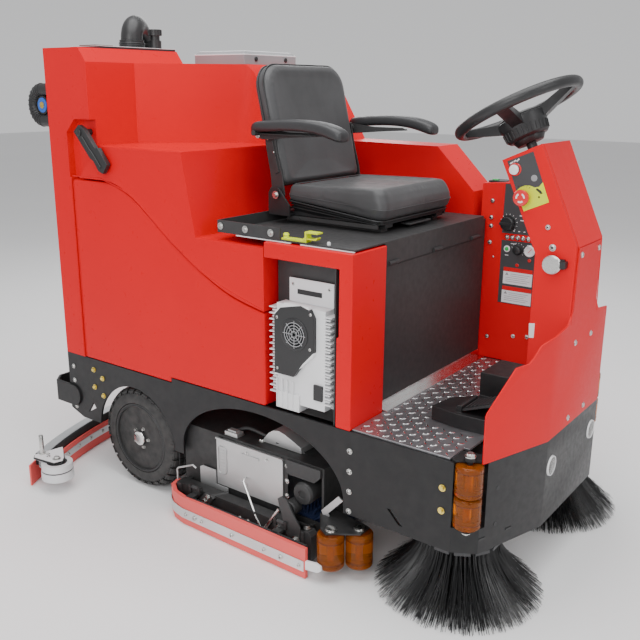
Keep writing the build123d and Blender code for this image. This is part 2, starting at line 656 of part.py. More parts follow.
def scrub_deck():
    """Deck housing, end plates, side tubes, lift rod and the corner roller brackets."""
    x0, x1, z0, z1 = HOPPER
    deck = block(-235, 330, -438, 438, 286, 291)
    deck += block(-235, -230, -438, 438, 90, 286)
    deck += block(325, 330, -438, 438, 90, 286)
    for side in (-1, 1):
        deck += side_block(side, -230, 325, 432, 438, 60, 286)
        deck -= side_block(side, 196, 322, 430, 440, 112, 285)
        deck += side_block(side, -220, 300, 456, 496, 60, 108)
        for x in (-215, 285):
            deck += side_block(side, x, x + 15, 438, 456, 62, 106)
        for x in SKIRT_HINGES:
            for lug in (x - 12, x + 26):
                deck += side_block(side, lug, lug + 10, 496, 510, 98, 123)
            deck -= rod((x - 20, side * 503, 116), (x + 44, side * 503, 116), 4 + PIN_FIT)
        for key, (x, y) in ROLLER_SPOTS.items():
            deck += rod((x, side * y, 34), (x, side * y, 156), 8)
            deck += rod((x, side * y, 34), (x, side * y, 37), 13)
            deck += rod((x, side * y, 152), (x, side * y, 158), 15)
        plate = [(330, 400), (330, 446), (372, 512), (402, 528), (430, 505), (480, 470), (480, 425),
                 (455, 418)]
        deck += plan_profile(on_side(plate, side), 147, 152)
        deck += side_block(side, 322, 334, 395, 446, 100, 152)
        for x in ROLL_XS.values():
            deck -= rod((x, side * 425, ROLL_Z), (x, side * 445, ROLL_Z), 12 + PIN_FIT)
    deck += rod((60, 0, 291), (60, 0, 385), 10)
    deck -= block(x0 - 4, x1 + 4, -445, -425, z0 - 4, z1 + 4)
    return deck


def debris_hopper():
    """Open tray between the two brush rolls that slides out to the right."""
    x0, x1, z0, z1 = HOPPER
    tray = block(x0, x1, -431, 428, z0, z1) - block(x0 + 3, x1 - 3, -428, 425, z0 + 3, z1 + 10)
    tray -= block(x0 - 5, x1 + 5, -420, 418, z0 + 90, z1 + 10)
    tray += block(x0 - 18, x1 + 16, -444, -438.5, z0, z1 + 2)
    tray += block(x0 + 10, x1 - 10, -438.5, -431, z0 + 10, z1 - 10)
    tray += block(20, 90, -448, -444, z1 - 30, z1 - 22)
    return tray


def brush_roll(key):
    """Cylindrical scrub brush on its shaft."""
    x = ROLL_XS[key]
    roll = rod((x, -424, ROLL_Z), (x, 424, ROLL_Z), ROLL_R)
    return roll + rod((x, -440, ROLL_Z), (x, 440, ROLL_Z), 12)


def deck_skirt(side):
    """Side squeegee of the deck: a rubber and metal strip that curves in at its rear end."""
    outer = [(350, 553), (350, 541), (-140, 533), (-190, 522), (-228, 495), (-240, 460),
             (-252, 460), (-240, 502), (-198, 532), (-146, 545)]
    skirt = plan_profile(on_side(outer, side), 2, 96)
    for x in SKIRT_HINGES:
        skirt += side_block(side, x, x + 24, 500, 536, 88, 96)
        skirt += side_block(side, x, x + 24, 500, 505, 96, 112)
        skirt += rod((x, side * 503, 116), (x + 24, side * 503, 116), 6.5)
        skirt += rod((x - 12, side * 503, 116), (x + 36, side * 503, 116), 4)
    return skirt


def deck_roller(side, key):
    """Amber bumper roller at the deck's front corner."""
    x, y = ROLLER_SPOTS[key]
    roller = rod((x, side * y, 40), (x, side * y, 145), DECK_ROLLER_R)
    roller = chamfer(roller.edges().filter_by(GeomType.CIRCLE), 5)
    return roller - rod((x, side * y, 30), (x, side * y, 150), 8 + PIN_FIT)


# ---- squeegee -----------------------------------------------------------------------------
def arc_band(outer_r, width, half_angle, z0, z1):
    """Part of a ring round the squeegee's centre, behind the machine."""
    centre_x = SQUEEGEE_BACK + SQUEEGEE_R
    ring = Cylinder(outer_r, z1 - z0) - Cylinder(outer_r - width, z1 - z0)
    reach = 3000
    corner = reach * tan(radians(half_angle))
    wedge = plan_profile([(0, 0), (-reach, corner), (-reach, -corner)], -200, 200)
    return Pos(centre_x, 0, (z0 + z1) / 2) * (ring & wedge)


def squeegee_frame():
    """Curved carrier with its end plates, roller pins and lift arms."""
    frame = arc_band(SQUEEGEE_R - 7, 44, 28.5, 62, 104)
    for side in (-1, 1):
        end = [(-730, 560), (-752, 660), (-735, 676), (-640, 662), (-632, 630), (-650, 610)]
        frame += plan_profile(on_side(end, side), 104, 109)
        frame += rod((-660, side * 636, 44), (-660, side * 636, 109), 8)
        frame += rod((-735, side * 640, 60), (-735, side * 640, 180), 7)
        arm = side_profile([(-905, 100), (-905, 150), (-655, 246), (-625, 246), (-625, 214),
                            (-655, 214), (-870, 104)], *sorted((side * 110, side * 122)))
        arm -= rod((-640, side * 100, 230), (-640, side * 130, 230), 12 + PIN_FIT)
        frame += arm
    return frame


def squeegee_blades():
    """Front and rear rubber blades on the carrier."""
    rear = arc_band(SQUEEGEE_R, 6, 30.2, 2, 78)
    front = arc_band(SQUEEGEE_R - 52, 6, 27.0, 2, 78)
    return rear + front


def squeegee_roller(side):
    """Two-step guard roller at the end of the squeegee."""
    x, y = -660, side * 636
    roller = rod((x, y, 45), (x, y, 74), 54)
    roller += rod((x, y, 74), (x, y, 78), 50)
    roller += rod((x, y, 78), (x, y, 101), 52)
    return roller - rod((x, y, 40), (x, y, 120), 8 + PIN_FIT)


# ---- write every node ---------------------------------------------------------------------
save("chassis_frame", chassis_frame())
save("front_bumper", front_bumper())
save("rear_bumper_guard", rear_bumper_guard())
save("floor_plate", floor_plate())
save("frame_bolts", frame_bolts())
save("headlamps", headlamps())
save("front_wrap", front_wrap())
save("steering_column", steering_column())
save("control_box", control_box())
save("wheel_housing", wheel_housing())
save("solution_tank", solution_tank())
save("recovery_tank", recovery_tank())
save("tank_lid", tank_lid())
save("vacuum_elbow", vacuum_elbow())
save("drain_hose", drain_hose())
save("battery_covers", battery_covers())
save("battery_box", battery_box())
save("battery_pack", battery_pack())
save("charger", charger())
save("seat_platform", seat_platform())
save("seat_latch", seat_latch())
save("seat_frame", seat_frame())
save("seat_cushion", seat_cushion())
save("seat_backrest", seat_backrest())
save("steering_wheel", steering_wheel())
save("horn_button", push_button(699, -100, 1136, 13, 8, 6))
save("estop_button", push_button(727, -100, 1065, 20, 8, 14))
save("selector_knob", selector_knob())
save("accelerator_pedal", accelerator_pedal())
save("squeegee_lever", squeegee_lever())
save("drive_fork", drive_fork())
save("drive_wheel", drive_wheel())
save("scrub_deck", scrub_deck())
save("debris_hopper", debris_hopper())
save("squeegee_frame", squeegee_frame())
save("squeegee_blades", squeegee_blades())
for key in ROLL_XS:
    save(f"brush_roll_{key}", brush_roll(key))
for name, side in SIDES:
    save(f"side_plate_{name}", side_plate(side))
    save(f"armrest_{name}", armrest(side))
    save(f"rear_tyre_{name}", rear_tyre(side))
    save(f"rear_rim_{name}", rear_rim(side))
    save(f"broom_arm_{name}", broom_arm(side))
    save(f"broom_{name}", broom(side))
    save(f"corner_roller_{name}", corner_roller(side))
    save(f"deck_skirt_{name}", deck_skirt(side))
    save(f"squeegee_roller_{name}", squeegee_roller(side))
    for key in ROLLER_SPOTS:
        save(f"deck_roller_{key}_{name}", deck_roller(side, key))
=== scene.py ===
import math
import random

import bmesh
import bpy
from mathutils import Matrix, Vector


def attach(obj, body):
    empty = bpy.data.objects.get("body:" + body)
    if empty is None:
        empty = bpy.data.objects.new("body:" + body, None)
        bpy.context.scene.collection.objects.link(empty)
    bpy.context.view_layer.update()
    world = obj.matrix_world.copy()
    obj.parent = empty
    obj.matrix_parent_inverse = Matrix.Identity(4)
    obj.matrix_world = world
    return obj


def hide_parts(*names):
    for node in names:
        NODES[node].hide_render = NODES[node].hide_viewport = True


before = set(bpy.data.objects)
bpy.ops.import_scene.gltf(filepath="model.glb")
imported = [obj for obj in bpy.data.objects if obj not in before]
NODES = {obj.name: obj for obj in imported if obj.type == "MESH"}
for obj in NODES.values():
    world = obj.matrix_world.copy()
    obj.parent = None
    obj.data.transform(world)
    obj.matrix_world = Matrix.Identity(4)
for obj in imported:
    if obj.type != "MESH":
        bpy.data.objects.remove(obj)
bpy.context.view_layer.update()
rng = random.Random(11)
MM = 0.001


# ---- materials ----------------------------------------------------------------------------
def shader(name):
    """A new material, its principled shader and its node tree."""
    made = bpy.data.materials.new(name)
    made.use_nodes = True
    return made, made.node_tree.nodes["Principled BSDF"], made.node_tree


def coords(tree):
    return tree.nodes.new("ShaderNodeTexCoord").outputs["Object"]


def noise_node(tree, where, scale, detail=3.0):
    node = tree.nodes.new("ShaderNodeTexNoise")
    node.inputs["Scale"].default_value = scale
    node.inputs["Detail"].default_value = detail
    tree.links.new(where, node.inputs["Vector"])
    return node.outputs["Fac"]


def spread(tree, value, low, high):
    """Maps a noise value to low..high."""
    node = tree.nodes.new("ShaderNodeMapRange")
    node.inputs["From Min"].default_value = 0.3
    node.inputs["From Max"].default_value = 0.7
    node.inputs["To Min"].default_value = low
    node.inputs["To Max"].default_value = high
    tree.links.new(value, node.inputs["Value"])
    return node.outputs["Result"]


def blend(tree, low, high, factor):
    """Mixes two colours, each a value or the output of a node."""
    mix = tree.nodes.new("ShaderNodeMix")
    mix.data_type = "RGBA"
    for socket, colour in (("A", low), ("B", high)):
        if isinstance(colour, tuple):
            mix.inputs[socket].default_value = (*colour, 1)
        else:
            tree.links.new(colour, mix.inputs[socket])
    tree.links.new(factor, mix.inputs["Factor"])
    return mix.outputs["Result"]


def bumped(tree, height, strength, out):
    """Raises the surface by this height, at most 0.4 mm."""
    bump = tree.nodes.new("ShaderNodeBump")
    bump.inputs["Strength"].default_value = strength
    bump.inputs["Distance"].default_value = 0.0004
    tree.links.new(height, bump.inputs["Height"])
    tree.links.new(bump.outputs["Normal"], out.inputs["Normal"])


def surface(name, colour, rough, metallic=0.0, vary=0.12, grain=0.0, grain_scale=900.0, coat=0.0,
            rough_vary=0.06, stretch=None, dust=0.0, transmission=0.0, ior=1.5, shine=0.5):
    """A painted, moulded or metal surface: uneven colour and gloss, fine grain and a little dust."""
    made, out, tree = shader(name)
    where = fine_where = coords(tree)
    if stretch:
        scale = tree.nodes.new("ShaderNodeVectorMath")
        scale.operation = "MULTIPLY"
        scale.inputs[1].default_value = stretch
        tree.links.new(where, scale.inputs[0])
        fine_where = scale.outputs["Vector"]
    tint = blend(tree, tuple(c * (1 - vary) for c in colour), tuple(min(1.0, c * (1 + vary)) for c in colour),
                 spread(tree, noise_node(tree, where, 4.0), 0.0, 1.0))
    if dust:
        specks = spread(tree, noise_node(tree, where, 38.0, 6.0), 0.0, dust)
        tint = blend(tree, tint, (0.35, 0.33, 0.30), specks)
    tree.links.new(tint, out.inputs["Base Color"])
    tree.links.new(spread(tree, noise_node(tree, fine_where, 60.0, 5.0), max(0.03, rough - rough_vary),
                          rough + rough_vary), out.inputs["Roughness"])
    for socket, value in (("Metallic", metallic), ("Coat Weight", coat), ("Coat Roughness", 0.12),
                          ("Transmission Weight", transmission), ("IOR", ior), ("Specular IOR Level", shine)):
        out.inputs[socket].default_value = value
    if grain:
        bumped(tree, noise_node(tree, fine_where, grain_scale, 4.0), grain, out)
    return made


def vinyl(name, colour):
    """Grained vinyl: small cells pressed into a soft skin with a little sheen."""
    made, out, tree = shader(name)
    where = coords(tree)
    cells = tree.nodes.new("ShaderNodeTexVoronoi")
    cells.feature = "DISTANCE_TO_EDGE"
    cells.inputs["Scale"].default_value = 620.0
    tree.links.new(where, cells.inputs["Vector"])
    bumped(tree, cells.outputs["Distance"], 0.22, out)
    tint = blend(tree, tuple(c * 0.82 for c in colour), tuple(c * 1.2 for c in colour),
                 spread(tree, noise_node(tree, where, 7.0, 5.0), 0.0, 1.0))
    tree.links.new(tint, out.inputs["Base Color"])
    tree.links.new(spread(tree, noise_node(tree, where, 30.0, 5.0), 0.40, 0.55), out.inputs["Roughness"])
    out.inputs["Sheen Weight"].default_value = 0.08
    return made


# colour, roughness and what differs from the defaults of surface()
FINISHES = {
    "red_plastic": ((0.68, 0.004, 0.010), 0.30, dict(vary=0.015, grain=0.10, grain_scale=700, rough_vary=0.03,
                                                    shine=0.12)),
    "red_paint": ((0.70, 0.006, 0.012), 0.42, dict(vary=0.02, grain=0.5, grain_scale=480, rough_vary=0.03,
                                                  shine=0.12)),
    "black_paint": ((0.010, 0.010, 0.011), 0.42, dict(grain=0.22, grain_scale=800, dust=0.02, shine=0.35)),
    "frame_steel": ((0.014, 0.014, 0.015), 0.5, dict(grain=0.25, dust=0.05)),
    "zinc": ((0.62, 0.62, 0.60), 0.28, dict(metallic=1.0, grain=0.1)),
    "yellow_zinc": ((0.75, 0.60, 0.16), 0.32, dict(metallic=1.0, vary=0.25, grain=0.1)),
    "bright_steel": ((0.78, 0.78, 0.77), 0.18, dict(metallic=1.0, grain=0.05)),
    "tread_plate": ((0.40, 0.40, 0.42), 0.34, dict(metallic=0.9, grain=0.10)),
    "brushed": ((0.72, 0.73, 0.74), 0.36, dict(metallic=1.0, grain=0.35, grain_scale=500,
                                               stretch=(0.05, 0.05, 1))),
    "hopper_sheet": ((0.60, 0.60, 0.60), 0.42, dict(metallic=0.75, grain=0.15)),
    "lid_plastic": ((0.30, 0.30, 0.31), 0.45, dict(grain=0.3, grain_scale=600)),
    "pale_plastic": ((0.62, 0.63, 0.64), 0.42, dict(grain=0.2)),
    "white_paint": ((0.80, 0.80, 0.81), 0.34, dict(vary=0.04, grain=0.2)),
    "black_plastic": ((0.020, 0.020, 0.021), 0.38, dict(grain=0.35, grain_scale=700)),
    "satin_black": ((0.030, 0.030, 0.031), 0.50, dict(grain=0.30, grain_scale=600, dust=0.03)),
    "hose_rubber": ((0.018, 0.018, 0.019), 0.48, dict(grain=0.3)),
    "tyre": ((0.016, 0.016, 0.017), 0.62, dict(grain=0.5, grain_scale=450, dust=0.10)),
    "bristle": ((0.006, 0.006, 0.0065), 0.36, dict(vary=0.5)),
    "bristle_blue": ((0.02, 0.03, 0.08), 0.45, dict(vary=0.4)),
    "gum": ((0.82, 0.10, 0.09), 0.50, dict(vary=0.06, grain=0.25)),
    "lime": ((0.68, 0.80, 0.01), 0.38, dict(vary=0.04, grain=0.2)),
    "lime_print": ((0.66, 0.78, 0.01), 0.42, dict(vary=0.02)),
    "red_gloss": ((0.72, 0.01, 0.015), 0.2, dict(vary=0.04, coat=0.5)),
    "white_gloss": ((0.82, 0.82, 0.82), 0.22, dict(vary=0.03, coat=0.4)),
    "green_gloss": ((0.03, 0.50, 0.10), 0.22, dict(vary=0.04, coat=0.5)),
    "panel_print": ((0.050, 0.050, 0.053), 0.50, dict(vary=0.05)),
    "grey_print": ((0.30, 0.30, 0.31), 0.5, dict(vary=0.05)),
    "battery_case": ((0.045, 0.045, 0.05), 0.5, dict(grain=0.3)),
    "blue_plastic": ((0.02, 0.12, 0.50), 0.35, dict()),
    "brass": ((0.75, 0.55, 0.15), 0.3, dict(metallic=1.0)),
    "amber": ((0.95, 0.24, 0.004), 0.07, dict(vary=0.10, transmission=0.85, ior=1.30)),
    "amber_core": ((0.10, 0.018, 0.002), 0.30, dict(vary=0.2, shine=0.3)),
    "lamp_glass": ((0.95, 0.95, 0.92), 0.04, dict(vary=0.01, transmission=0.9, ior=1.45)),
    "foam": ((0.030, 0.030, 0.032), 0.42, dict(grain=0.4, grain_scale=420)),
}
MAT = {name: surface(name, colour, rough, **more) for name, (colour, rough, more) in FINISHES.items()}
MAT["vinyl"] = vinyl("vinyl", (0.050, 0.050, 0.052))
UP, FORWARD, RIGHTWARD = (0, 0, 1), (1, 0, 0), (0, -1, 0)
SIDES = (("right", -1), ("left", 1))


# ---- mesh helpers, in millimetres ---------------------------------------------------------
def finish_mesh(mesh, sharp=34.0):
    """Smooth faces with hard edges where the surface turns sharply."""
    bm = bmesh.new()
    bm.from_mesh(mesh)
    for face in bm.faces:
        face.smooth = True
    for edge in bm.edges:
        if len(edge.link_faces) == 2:
            edge.smooth = edge.calc_face_angle(0.0) < math.radians(sharp)
    bm.to_mesh(mesh)
    bm.free()


def bevel(obj, width, segments=2):
    mod = obj.modifiers.new("edge", "BEVEL")
    mod.width = width * MM
    mod.segments = segments
    mod.limit_method = "ANGLE"
    mod.angle_limit = math.radians(34)
    mod.harden_normals = True


def piece(name, bm, body, material, edge=0.0, segments=2, sharp=34.0, replaces=()):
    """Turns a bmesh drawn in millimetres into a piece that rides a CAD body."""
    bmesh.ops.recalc_face_normals(bm, faces=bm.faces)
    bmesh.ops.scale(bm, vec=(MM, MM, MM), verts=bm.verts)
    mesh = bpy.data.meshes.new(name)
    bm.to_mesh(mesh)
    bm.free()
    finish_mesh(mesh, sharp)
    mesh.materials.append(MAT[material])
    obj = bpy.data.objects.new(name, mesh)
    bpy.context.scene.collection.objects.link(obj)
    if edge:
        bevel(obj, edge, segments)
    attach(obj, body)
    if replaces:
        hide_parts(*replaces)
    return obj


def box(bm, x0, x1, y0, y1, z0, z1):
    """A box between two corners."""
    place = Matrix.Translation(((x0 + x1) / 2, (y0 + y1) / 2, (z0 + z1) / 2))
    size = Matrix.Diagonal((abs(x1 - x0), abs(y1 - y0), abs(z1 - z0), 1))
    return bmesh.ops.create_cube(bm, size=1.0, matrix=place @ size)["verts"]


def frame_of(axis):
    """A rotation that takes +Z to this direction."""
    return Vector(axis).to_track_quat("Z", "Y").to_matrix().to_4x4()


def rod(bm, start, end, radius, sides=24, end_radius=None):
    """A round bar between two points."""
    a, b = Vector(start), Vector(end)
    place = Matrix.Translation((a + b) / 2) @ frame_of(b - a)
    top = radius if end_radius is None else end_radius
    bmesh.ops.create_cone(bm, cap_ends=True, segments=sides, radius1=radius, radius2=top,
                          depth=(b - a).length, matrix=place)


def turns(count):
    """Evenly spaced angles of one full turn."""
    return [2 * math.pi * i / count for i in range(count)]


def polar(centre, radius, a):
    """A point at this radius and angle about a centre in a plane."""
    return centre[0] + radius * math.cos(a), centre[1] + radius * math.sin(a)


def skin(bm, rings):
    """Joins each ring of vertices to the next one, all the way round."""
    for low, high in zip(rings, rings[1:]):
        for i in range(len(low)):
            j = (i + 1) % len(low)
            bm.faces.new((low[i], low[j], high[j], high[i]))


def lathe(bm, origin, axis, profile, sides=40):
    """Turns a closed or open profile of (along, radius) about an axis, and closes its wide ends."""
    turn = Matrix.Translation(Vector(origin)) @ frame_of(axis)
    rings = [[bm.verts.new(turn @ Vector((*polar((0, 0), radius, a), along))) for a in turns(sides)]
             for along, radius in profile]
    skin(bm, rings)
    for ring in (rings[0], rings[-1]):
        if len(set(round(v.co.x, 5) + round(v.co.y, 5) * 7 for v in ring)) > 2:
            bm.faces.new(ring)


def prism(bm, points, place, depth):
    """A flat outline in the local XY plane of place, pushed along its Z."""
    low = [bm.verts.new(place @ Vector((x, y, 0))) for x, y in points]
    high = [bm.verts.new(place @ Vector((x, y, depth))) for x, y in points]
    bm.faces.new(low)
    bm.faces.new(list(reversed(high)))
    skin(bm, (low, high))


def xz_place(y):
    """Local X and Y are the machine's X and Z, and local Z points to the right, which is -Y."""
    return Matrix(((1, 0, 0, 0), (0, 0, -1, y), (0, 1, 0, 0), (0, 0, 0, 1)))


def side_plate(bm, points, y0, y1):
    """An outline in X and Z between two Y values."""
    high, low = max(y0, y1), min(y0, y1)
    prism(bm, points, xz_place(high), high - low)


def grid_solid(bm, rows):
    """Closes a stack of rings, each with the same number of points."""
    rings = [[bm.verts.new(p) for p in ring] for ring in rows]
    skin(bm, rings)
    bm.faces.new(list(reversed(rings[0])))
    bm.faces.new(rings[-1])


def tube(bm, path, radius, sides=14):
    """A pipe along a list of points."""
    points = [Vector(p) for p in path]
    rings = []
    up = Vector(UP)
    first = (points[1] - points[0]).normalized()
    if abs(first.dot(up)) > 0.95:
        up = Vector((1, 0, 0))
    for i, p in enumerate(points):
        ahead = points[min(i + 1, len(points) - 1)] - points[max(i - 1, 0)]
        ahead.normalize()
        side = ahead.cross(up).normalized()
        up = side.cross(ahead).normalized()
        rings.append([p + side * (radius * math.cos(a)) + up * (radius * math.sin(a)) for a in turns(sides)])
    grid_solid(bm, rings)


def curve_points(points, steps=8):
    """Catmull-Rom points through a list of points."""
    pts = [Vector(p) for p in points]
    pts = [pts[0] * 2 - pts[1]] + pts + [pts[-1] * 2 - pts[-2]]
    made = []
    for i in range(1, len(pts) - 2):
        a, b, c, d = pts[i - 1:i + 3]
        for k in range(steps):
            t = k / steps
            made.append(0.5 * (2 * b + (c - a) * t + (2 * a - 5 * b + 4 * c - d) * t * t
                               + (3 * b - a - 3 * c + d) * t ** 3))
    made.append(pts[-2])
    return made


def screw(bm, spot, axis, radius=9.0, height=5.0, washer=0.0):
    """A domed screw head with a hexagon socket, on a washer if asked."""
    axis = Vector(axis).normalized()
    spot = Vector(spot)
    if washer:
        lathe(bm, spot, axis, [(0, washer), (1.6, washer), (1.6, radius * 0.6)], 28)
        spot = spot + axis * 1.6
    h = height
    lathe(bm, spot, axis, [(0, radius), (h * 0.35, radius), (h * 0.8, radius * 0.82), (h, radius * 0.58),
                           (h, radius * 0.45)], 28)
    lathe(bm, spot, axis, [(h, radius * 0.46), (h * 0.45, radius * 0.42), (h * 0.45, 0.01)], 6)


def hex_bolt(bm, spot, axis, radius=12.0, height=8.0, washer=16.0):
    """A hexagon head on a washer."""
    axis = Vector(axis).normalized()
    spot = Vector(spot)
    lathe(bm, spot, axis, [(0, washer), (2, washer), (2, radius * 0.5)], 32)
    low = spot + axis * 2
    lathe(bm, low, axis, [(0, radius), (height * 0.8, radius), (height, radius * 0.86), (height, 0.01)], 6)
    crown = height + 0.4
    lathe(bm, low, axis, [(height * 0.82, radius * 0.86), (crown, radius * 0.8), (crown, 0.01)], 28)


# ---- CAD nodes: materials and softened edges ----------------------------------------------
def dress(node, material, edge):
    """Gives a CAD node its material, and rounds its edges without changing its own mesh."""
    obj = NODES[node]
    mesh = obj.data
    mesh.materials.clear()
    mesh.materials.append(MAT[material])
    if "custom_normal" in mesh.attributes:
        mesh.attributes.remove(mesh.attributes["custom_normal"])
    for face in mesh.polygons:
        face.use_smooth = True
        face.material_index = 0
    weld = obj.modifiers.new("weld", "WELD")
    weld.merge_threshold = 0.00002
    flat = obj.modifiers.new("flat", "DECIMATE")
    flat.decimate_type = "DISSOLVE"
    flat.angle_limit = math.radians(0.6)
    bevel(obj, edge, 3 if edge >= 3 else 2)


DRESS = {
    "chassis_frame": ("frame_steel", 1.5), "front_bumper": ("black_paint", 1.5),
    "rear_bumper_guard": ("black_paint", 1.5), "floor_plate": ("tread_plate", 0.8),
    "front_wrap": ("red_paint", 1.2), "steering_column": ("red_paint", 3.0),
    "control_box": ("red_paint", 2.5),
    "wheel_housing": ("black_paint", 4.0), "solution_tank": ("red_plastic", 9.0),
    "recovery_tank": ("red_plastic", 9.0), "tank_lid": ("lid_plastic", 4.0),
    "vacuum_elbow": ("black_plastic", 1.5), "drain_hose": ("hose_rubber", 0.5),
    "battery_covers": ("red_plastic", 9.0), "battery_box": ("satin_black", 1.5),
    "battery_pack": ("battery_case", 3.0), "charger": ("white_paint", 1.0),
    "side_plate_right": ("black_paint", 1.2), "side_plate_left": ("black_paint", 1.2),
    "seat_platform": ("satin_black", 1.5), "seat_latch": ("lime", 0.8), "seat_frame": ("black_plastic", 1.2),
    "steering_wheel": ("black_plastic", 3.0), "horn_button": ("white_gloss", 1.5),
    "estop_button": ("red_gloss", 3.0), "selector_knob": ("black_plastic", 1.5),
    "accelerator_pedal": ("black_plastic", 1.5), "squeegee_lever": ("black_plastic", 3.0),
    "drive_fork": ("frame_steel", 2.0), "drive_wheel": ("tyre", 4.0), "scrub_deck": ("frame_steel", 1.2),
    "debris_hopper": ("hopper_sheet", 1.0), "squeegee_frame": ("black_paint", 1.2),
    "squeegee_blades": ("gum", 0.6),
}
for _side in ("right", "left"):
    DRESS.update({f"rear_rim_{_side}": ("satin_black", 1.5), f"broom_arm_{_side}": ("frame_steel", 2.0),
                  f"corner_roller_{_side}": ("amber", 2.0), f"deck_skirt_{_side}": ("gum", 0.8),
                  f"squeegee_roller_{_side}": ("pale_plastic", 2.5),
                  f"deck_roller_rear_{_side}": ("amber", 2.0), f"deck_roller_front_{_side}": ("amber", 2.0)})
for _node, (_material, _edge) in DRESS.items():
    dress(_node, _material, _edge)


# ---- wheels -------------------------------------------------------------------------------
AXLE_X, TYRE_R = -447, 180


def rear_wheel(name, side):
    """Tyre with block tread, and the bolts and cap of its rim."""
    x, r, out = AXLE_X, TYRE_R, (0, side, 0)
    body = f"rear_wheel_{name}"

    def rim_point(a, radius, along):
        return Vector((x + radius * math.sin(a), side * along, r + radius * math.cos(a)))

    def block(a, low, high, shoulder):
        """One tread block, whose outer edge is cut back where it lies on a shoulder."""
        half = 0.36 * 2 * math.pi / blocks
        ridge = []
        for along, radius in ((low, r - 13), (low + 5, r - 2), ((low + high) / 2, r - 0.3), (high - 5, r - 2),
                              (high, r - 13)):
            radius -= 6 if shoulder(along) else 0
            ridge.append([bm.verts.new(rim_point(t, radius, along)) for t in (a - half, a + half)])
        foot = [[bm.verts.new(rim_point(t, 168, along)) for t in (a - half * 1.12, a + half * 1.12)]
                for along in (low, high)]
        for (a0, a1), (b0, b1) in zip(ridge, ridge[1:]):
            bm.faces.new((a0, a1, b1, b0))
        bm.faces.new((foot[0][0], foot[0][1], ridge[0][1], ridge[0][0]))
        bm.faces.new((foot[1][1], foot[1][0], ridge[-1][0], ridge[-1][1]))
        for k in (0, 1):
            bm.faces.new([foot[0][k]] + [pair[k] for pair in ridge] + [foot[1][k]])

    bm = bmesh.new()
    lathe(bm, (x, 0, r), out, [(326, 123), (328, 150), (336, 166), (352, 171), (425, 171), (441, 166),
                               (448, 152), (451, 136), (449, 124), (440, 122.5)], 96)
    blocks = 30
    for a in turns(blocks):
        block(a, 332, 372, lambda along: along <= 340)
        block(a + math.pi / blocks, 376, 402, lambda along: False)
        block(a, 406, 446, lambda along: along >= 438)
        # a low rib of the side wall, between rim and tread
        rod(bm, rim_point(a, 148, 446), rim_point(a, 164, 443.5), 3.2, 6)
    piece(f"tyre_tread_{name}", bm, body, "tyre", edge=0.8, segments=1,
          replaces=(f"rear_tyre_{name}",))
    bm = bmesh.new()
    for i in range(5):
        a = math.radians(72 * i + 20)
        hex_bolt(bm, rim_point(a, 66, 384), out, 10, 8, 13)
        hex_bolt(bm, rim_point(a, 34, 438), out, 5.5, 5, 7)
    piece(f"wheel_nuts_{name}", bm, body, "zinc")
    bm = bmesh.new()
    lathe(bm, (x, side * 451, r), out, [(-2, 23), (-1, 25), (1.2, 24), (2.5, 19), (3.2, 10), (3.4, 0.01)], 36)
    piece(f"hub_cap_{name}", bm, body, "bright_steel")
    bm = bmesh.new()
    lathe(bm, (x, side * 448, r), out, [(-9, 119), (0, 119), (2, 116), (0, 112), (-9, 112.3)], 72)
    lathe(bm, (x, side * 372, r), out, [(0, 108), (3, 104), (4, 90), (2, 50), (9, 46), (9, 42.4),
                                        (0, 42.2)], 60)
    piece(f"rim_rings_{name}", bm, body, "black_plastic")


for _name, _side in SIDES:
    rear_wheel(_name, _side)

bm = bmesh.new()
for a in turns(22):
    for y0, y1, shift in ((-34, -13, 0.0), (-10, 10, 0.14), (13, 34, 0.0)):
        b = a + shift
        c = Vector((560 + 124.2 * math.sin(b), (y0 + y1) / 2, 125 + 124.2 * math.cos(b)))
        turn = Matrix.Translation(c) @ Matrix.Rotation(b, 4, "Y") @ Matrix.Diagonal((23, y1 - y0, 1.4, 1))
        bmesh.ops.create_cube(bm, size=1.0, matrix=turn)
piece("drive_tread", bm, "drive_wheel", "tyre", edge=0.6, segments=1)


